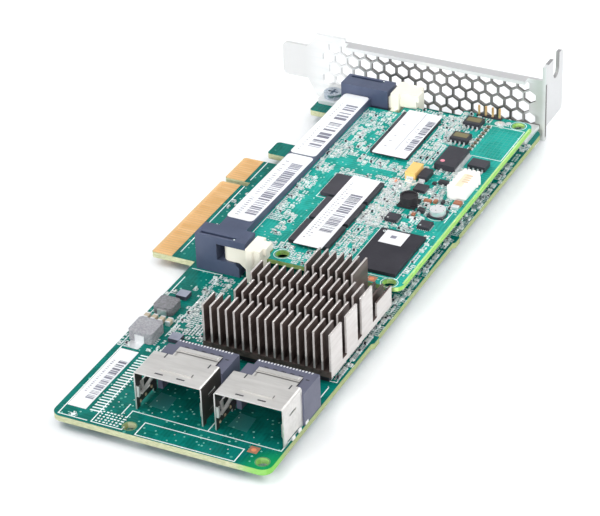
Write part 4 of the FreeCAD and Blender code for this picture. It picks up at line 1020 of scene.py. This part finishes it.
def board_rims():
    """Bare laminate along the module's outer edge, and the tan bed between the contacts."""
    rim, bed = Pile(), Pile()
    rim.strip(((68.62, 74.6), (68.62, 158.4)), 0.5, MODULE_TOP, INK)
    for near, far in ((71.25, 109.8), (111.8, 123.35)):
        bed.prism(((0.04, near + 0.5), (0.55, near), (5.8, near), (5.8, far), (0.55, far),
                   (0.04, far - 0.5)), BOARD_TOP, 0.03)
    rim.piece("module_rim", "solder_mask", "board", FINISHES["bare_laminate"])
    bed.piece("contact_bed", "gold_plate", "board", FINISHES["tan_bed"])


# Cable cages

CAGES = (30.1, 50.8)
CAGE_TOP = 10.5
CAGE_WALL = 17.3


def cage_springs():
    """What shows on each folded cage: spring arms, tongue and window plates, blobs, and slits
    painted as dark sheets of shade.
    """
    springs, dark, plates, blobs = Pile(), Pile(), Pile(), Pile()
    for x in CAGES:
        springs.strip(((10.2, 4.2), (15.6, 5.3)), 0.28, x + 0.8, 0.8, "YZ")
        springs.block((x + 0.4, 11.4, 4.6), (0.5, 0.9, 2.2), 0.1)
        springs.strip(((x + 0.35, 9.7), (x + 0.9, 9.7), (x + 0.9, 10.4)), 0.22, 3.4, 3.0)
        springs.strip(((x + 17.3, 9.6), (x + 16.7, 10.2), (x + 16.9, 12.6)), 0.25, 2.4, 3.4)
        plates.block((x + 4.0, 22.2, HOUSING_TOP), (11.2, 2.3, 0.35))
        plates.block((x + 4.0, 18.9, HOUSING_TOP), (0.8, 3.5, 0.35))
        plates.block((x + 4.3, 22.9, 9.03), (10.4, 1.15, 0.2), 0.08)
        # Painted shade: thin dark sheets and blocks stand for the shade in the slits and openings.
        dark.block((x + 3.7, 17.2, CAGE_TOP), (0.34, 1.72, 0.02))
        dark.block((x + 15.0, 17.3, CAGE_TOP), (0.34, 1.62, 0.02))
        for i in range(5):
            dark.block((x + 4.9 + i * 2.2, 25.1, HOUSING_TOP), (1.2, 0.34, 0.02), 0.0, -8.0)
        dark.block((x + 15.9, 24.2, HOUSING_TOP), (0.9, 0.45, 0.02))
        for start in (4.9, 10.5):
            dark.block((x + start, 10.6, 10.2), (2.1, 0.5, 0.24))
        for y, z in ((11.2, 1.3), (13.6, 1.6), (16.4, 2.0), (18.0, 4.6)):
            blobs.disc(y, z, x + 0.35, 0.42, 0.2, 12, 0.12, "YZ")
        plates.block((x + CAGE_WALL, 12.35, 2.4), (0.27, 3.6, 1.5))
        plates.block((x + CAGE_WALL, 12.35, 6.1), (0.27, 3.6, 0.62))
    springs.piece("cage_springs", "cage_steel", "board", FINISHES["spring_steel"])
    plates.piece("window_plates", "cage_steel", "board", FINISHES["cage_steel"])
    blobs.piece("solder_blobs", "tinned_metal", "board", FINISHES["tan_blob"])
    dark.piece("slit_shade_sheets", "dark_plastic", "board", FINISHES["resistor_black"])


def contact_tips():
    """The row of bright contact ends along each housing's rear rim."""
    tips = Pile()
    for x in CAGES:
        for i in range(18):
            tips.block((x + 2.5 + 0.8 * i, 26.95, HOUSING_TOP), (0.36, 0.55, 0.1), 0.03)
    tips.piece("contact_tips", "tinned_metal", "board", FINISHES["tinned_metal"])


def floor_reflections():
    """Paler green patches painted on the board inside the cages: a painted reflection."""
    fields = Pile()
    for x in CAGES:
        outline = ((x + 1.8, 11.8), (x + 7.0, 11.4), (x + 6.6, 17.0), (x + 2.2, 17.6))
        fields.prism(outline, BOARD_TOP, INK)
    fields.piece("floor_reflection_patches", "solder_mask", "board", FINISHES["floor_reflection_tone"])


def tower_highlights():
    """A pale dot painted on top of each of the socket's towers: a painted highlight."""
    glints = Pile()
    for y in (69.75, 159.85):
        glints.disc(25.0, y, 10.3, 0.22, 0.05, 12)
    glints.piece("tower_highlights", "label_paper", "board", FINISHES["white_ink"])


def back_side():
    """Solder joints and bare test pads on the main board's plain back."""
    joints, pads = Pile(), Pile()
    for x, start in ((17.4, 72.0), (20.2, 73.2), (23.0, 72.0), (25.8, 73.2)):
        for i in range(36):
            joints.disc(x, start + i * 2.4, BOARD_BACK - 0.22, 0.42, 0.24, 12)
    for x in CAGES:
        for row in range(2):
            for i in range(13):
                y = 23.6 + row * 1.6
                joints.disc(x + 2.6 + i * 1.05, y, BOARD_BACK - 0.2, 0.3, 0.22, 10)
        for foot in (0.9, 16.7):
            for y in (11.0, 17.4):
                joints.disc(x + foot, y, BOARD_BACK - 0.3, 0.7, 0.32, 16)
    for x, y in ((36.5, 38.0), (65.3, 67.0)):
        joints.disc(x, y, BOARD_BACK - 0.5, 1.5, 0.52, 20)
    for _ in range(170):
        x, y = RANDOM.uniform(14.0, 67.0), RANDOM.uniform(3.0, 156.0)
        pads.disc(x, y, BOARD_BACK - 0.03, RANDOM.choice((0.25, 0.4, 0.55)), 0.04, 12)
    joints.piece("back_joints", "tinned_metal", "board", FINISHES["tinned_metal"])
    pads.piece("back_pads", "tinned_metal", "board", FINISHES["covered_via"])


def add_details():
    silk_print()
    plated_rings()
    sight_marks()
    small_parts()
    paper_labels()
    label_print()
    chip_marks()
    lead_rows()
    oval_pads()
    resistor_row()
    grid_field()
    loose_blocks()
    battery_plug()
    board_rims()
    cage_springs()
    contact_tips()
    floor_reflections()
    tower_highlights()
    back_side()


# Studio

FLOOR_Z = -3.9 * MM
CARD_MIDDLE = (0.034, -0.02, 0.0)


def floor_and_backdrop():
    """One wide white table that serves as floor and backdrop."""
    bpy.ops.mesh.primitive_plane_add(size=8.0, location=(0.0, 0.0, FLOOR_Z))
    floor = bpy.context.object
    floor.name = "table"
    f = Finish("table_white", (0.93, 0.94, 0.955), 0.6)
    cloud = f.noise(3.0, 2.0)
    f.feed("Base Color", f.blend(cloud, (0.915, 0.925, 0.94), (0.93, 0.94, 0.955)))
    floor.data.materials.append(f.material)


def area_light(name, place, target, size, watts):
    data = bpy.data.lights.new(name, "AREA")
    data.shape = "RECTANGLE"
    data.size, data.size_y = size
    data.energy = watts
    lamp = bpy.data.objects.new(name, data)
    bpy.context.scene.collection.objects.link(lamp)
    lamp.location = place
    lamp.rotation_euler = (Vector(target) - Vector(place)).to_track_quat("-Z", "Y").to_euler()
    return lamp


def light_studio():
    """A pale sky, a key and a fill from the sides, a light behind and one aimed at the bracket."""
    world = bpy.data.worlds.new("studio_world")
    bpy.context.scene.world = world
    world.use_nodes = True
    background = world.node_tree.nodes["Background"]
    background.inputs["Color"].default_value = (0.97, 0.98, 1.0, 1.0)
    background.inputs["Strength"].default_value = 0.67
    area_light("key_light", (-0.5, -0.25, 0.9), CARD_MIDDLE, (0.9, 0.7), 5.8)
    area_light("fill_light", (0.7, 0.0, 0.45), CARD_MIDDLE, (0.8, 0.6), 2.9)
    area_light("far_light", (0.25, 0.5, 0.45), (0.034, 0.05, 0.01), (0.4, 0.3), 1.0)
    aim = (0.03, 0.066, 0.008)
    narrow = area_light("narrow_light", (0.14, -0.52, 0.13), aim, (0.12, 0.05), 0.03)
    narrow.data.spread = math.radians(17.0)


def main():
    aim_camera()
    dress_nodes()
    add_details()
    floor_and_backdrop()
    light_studio()
    bpy.context.scene.view_settings.view_transform = "Standard"
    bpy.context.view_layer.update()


main()
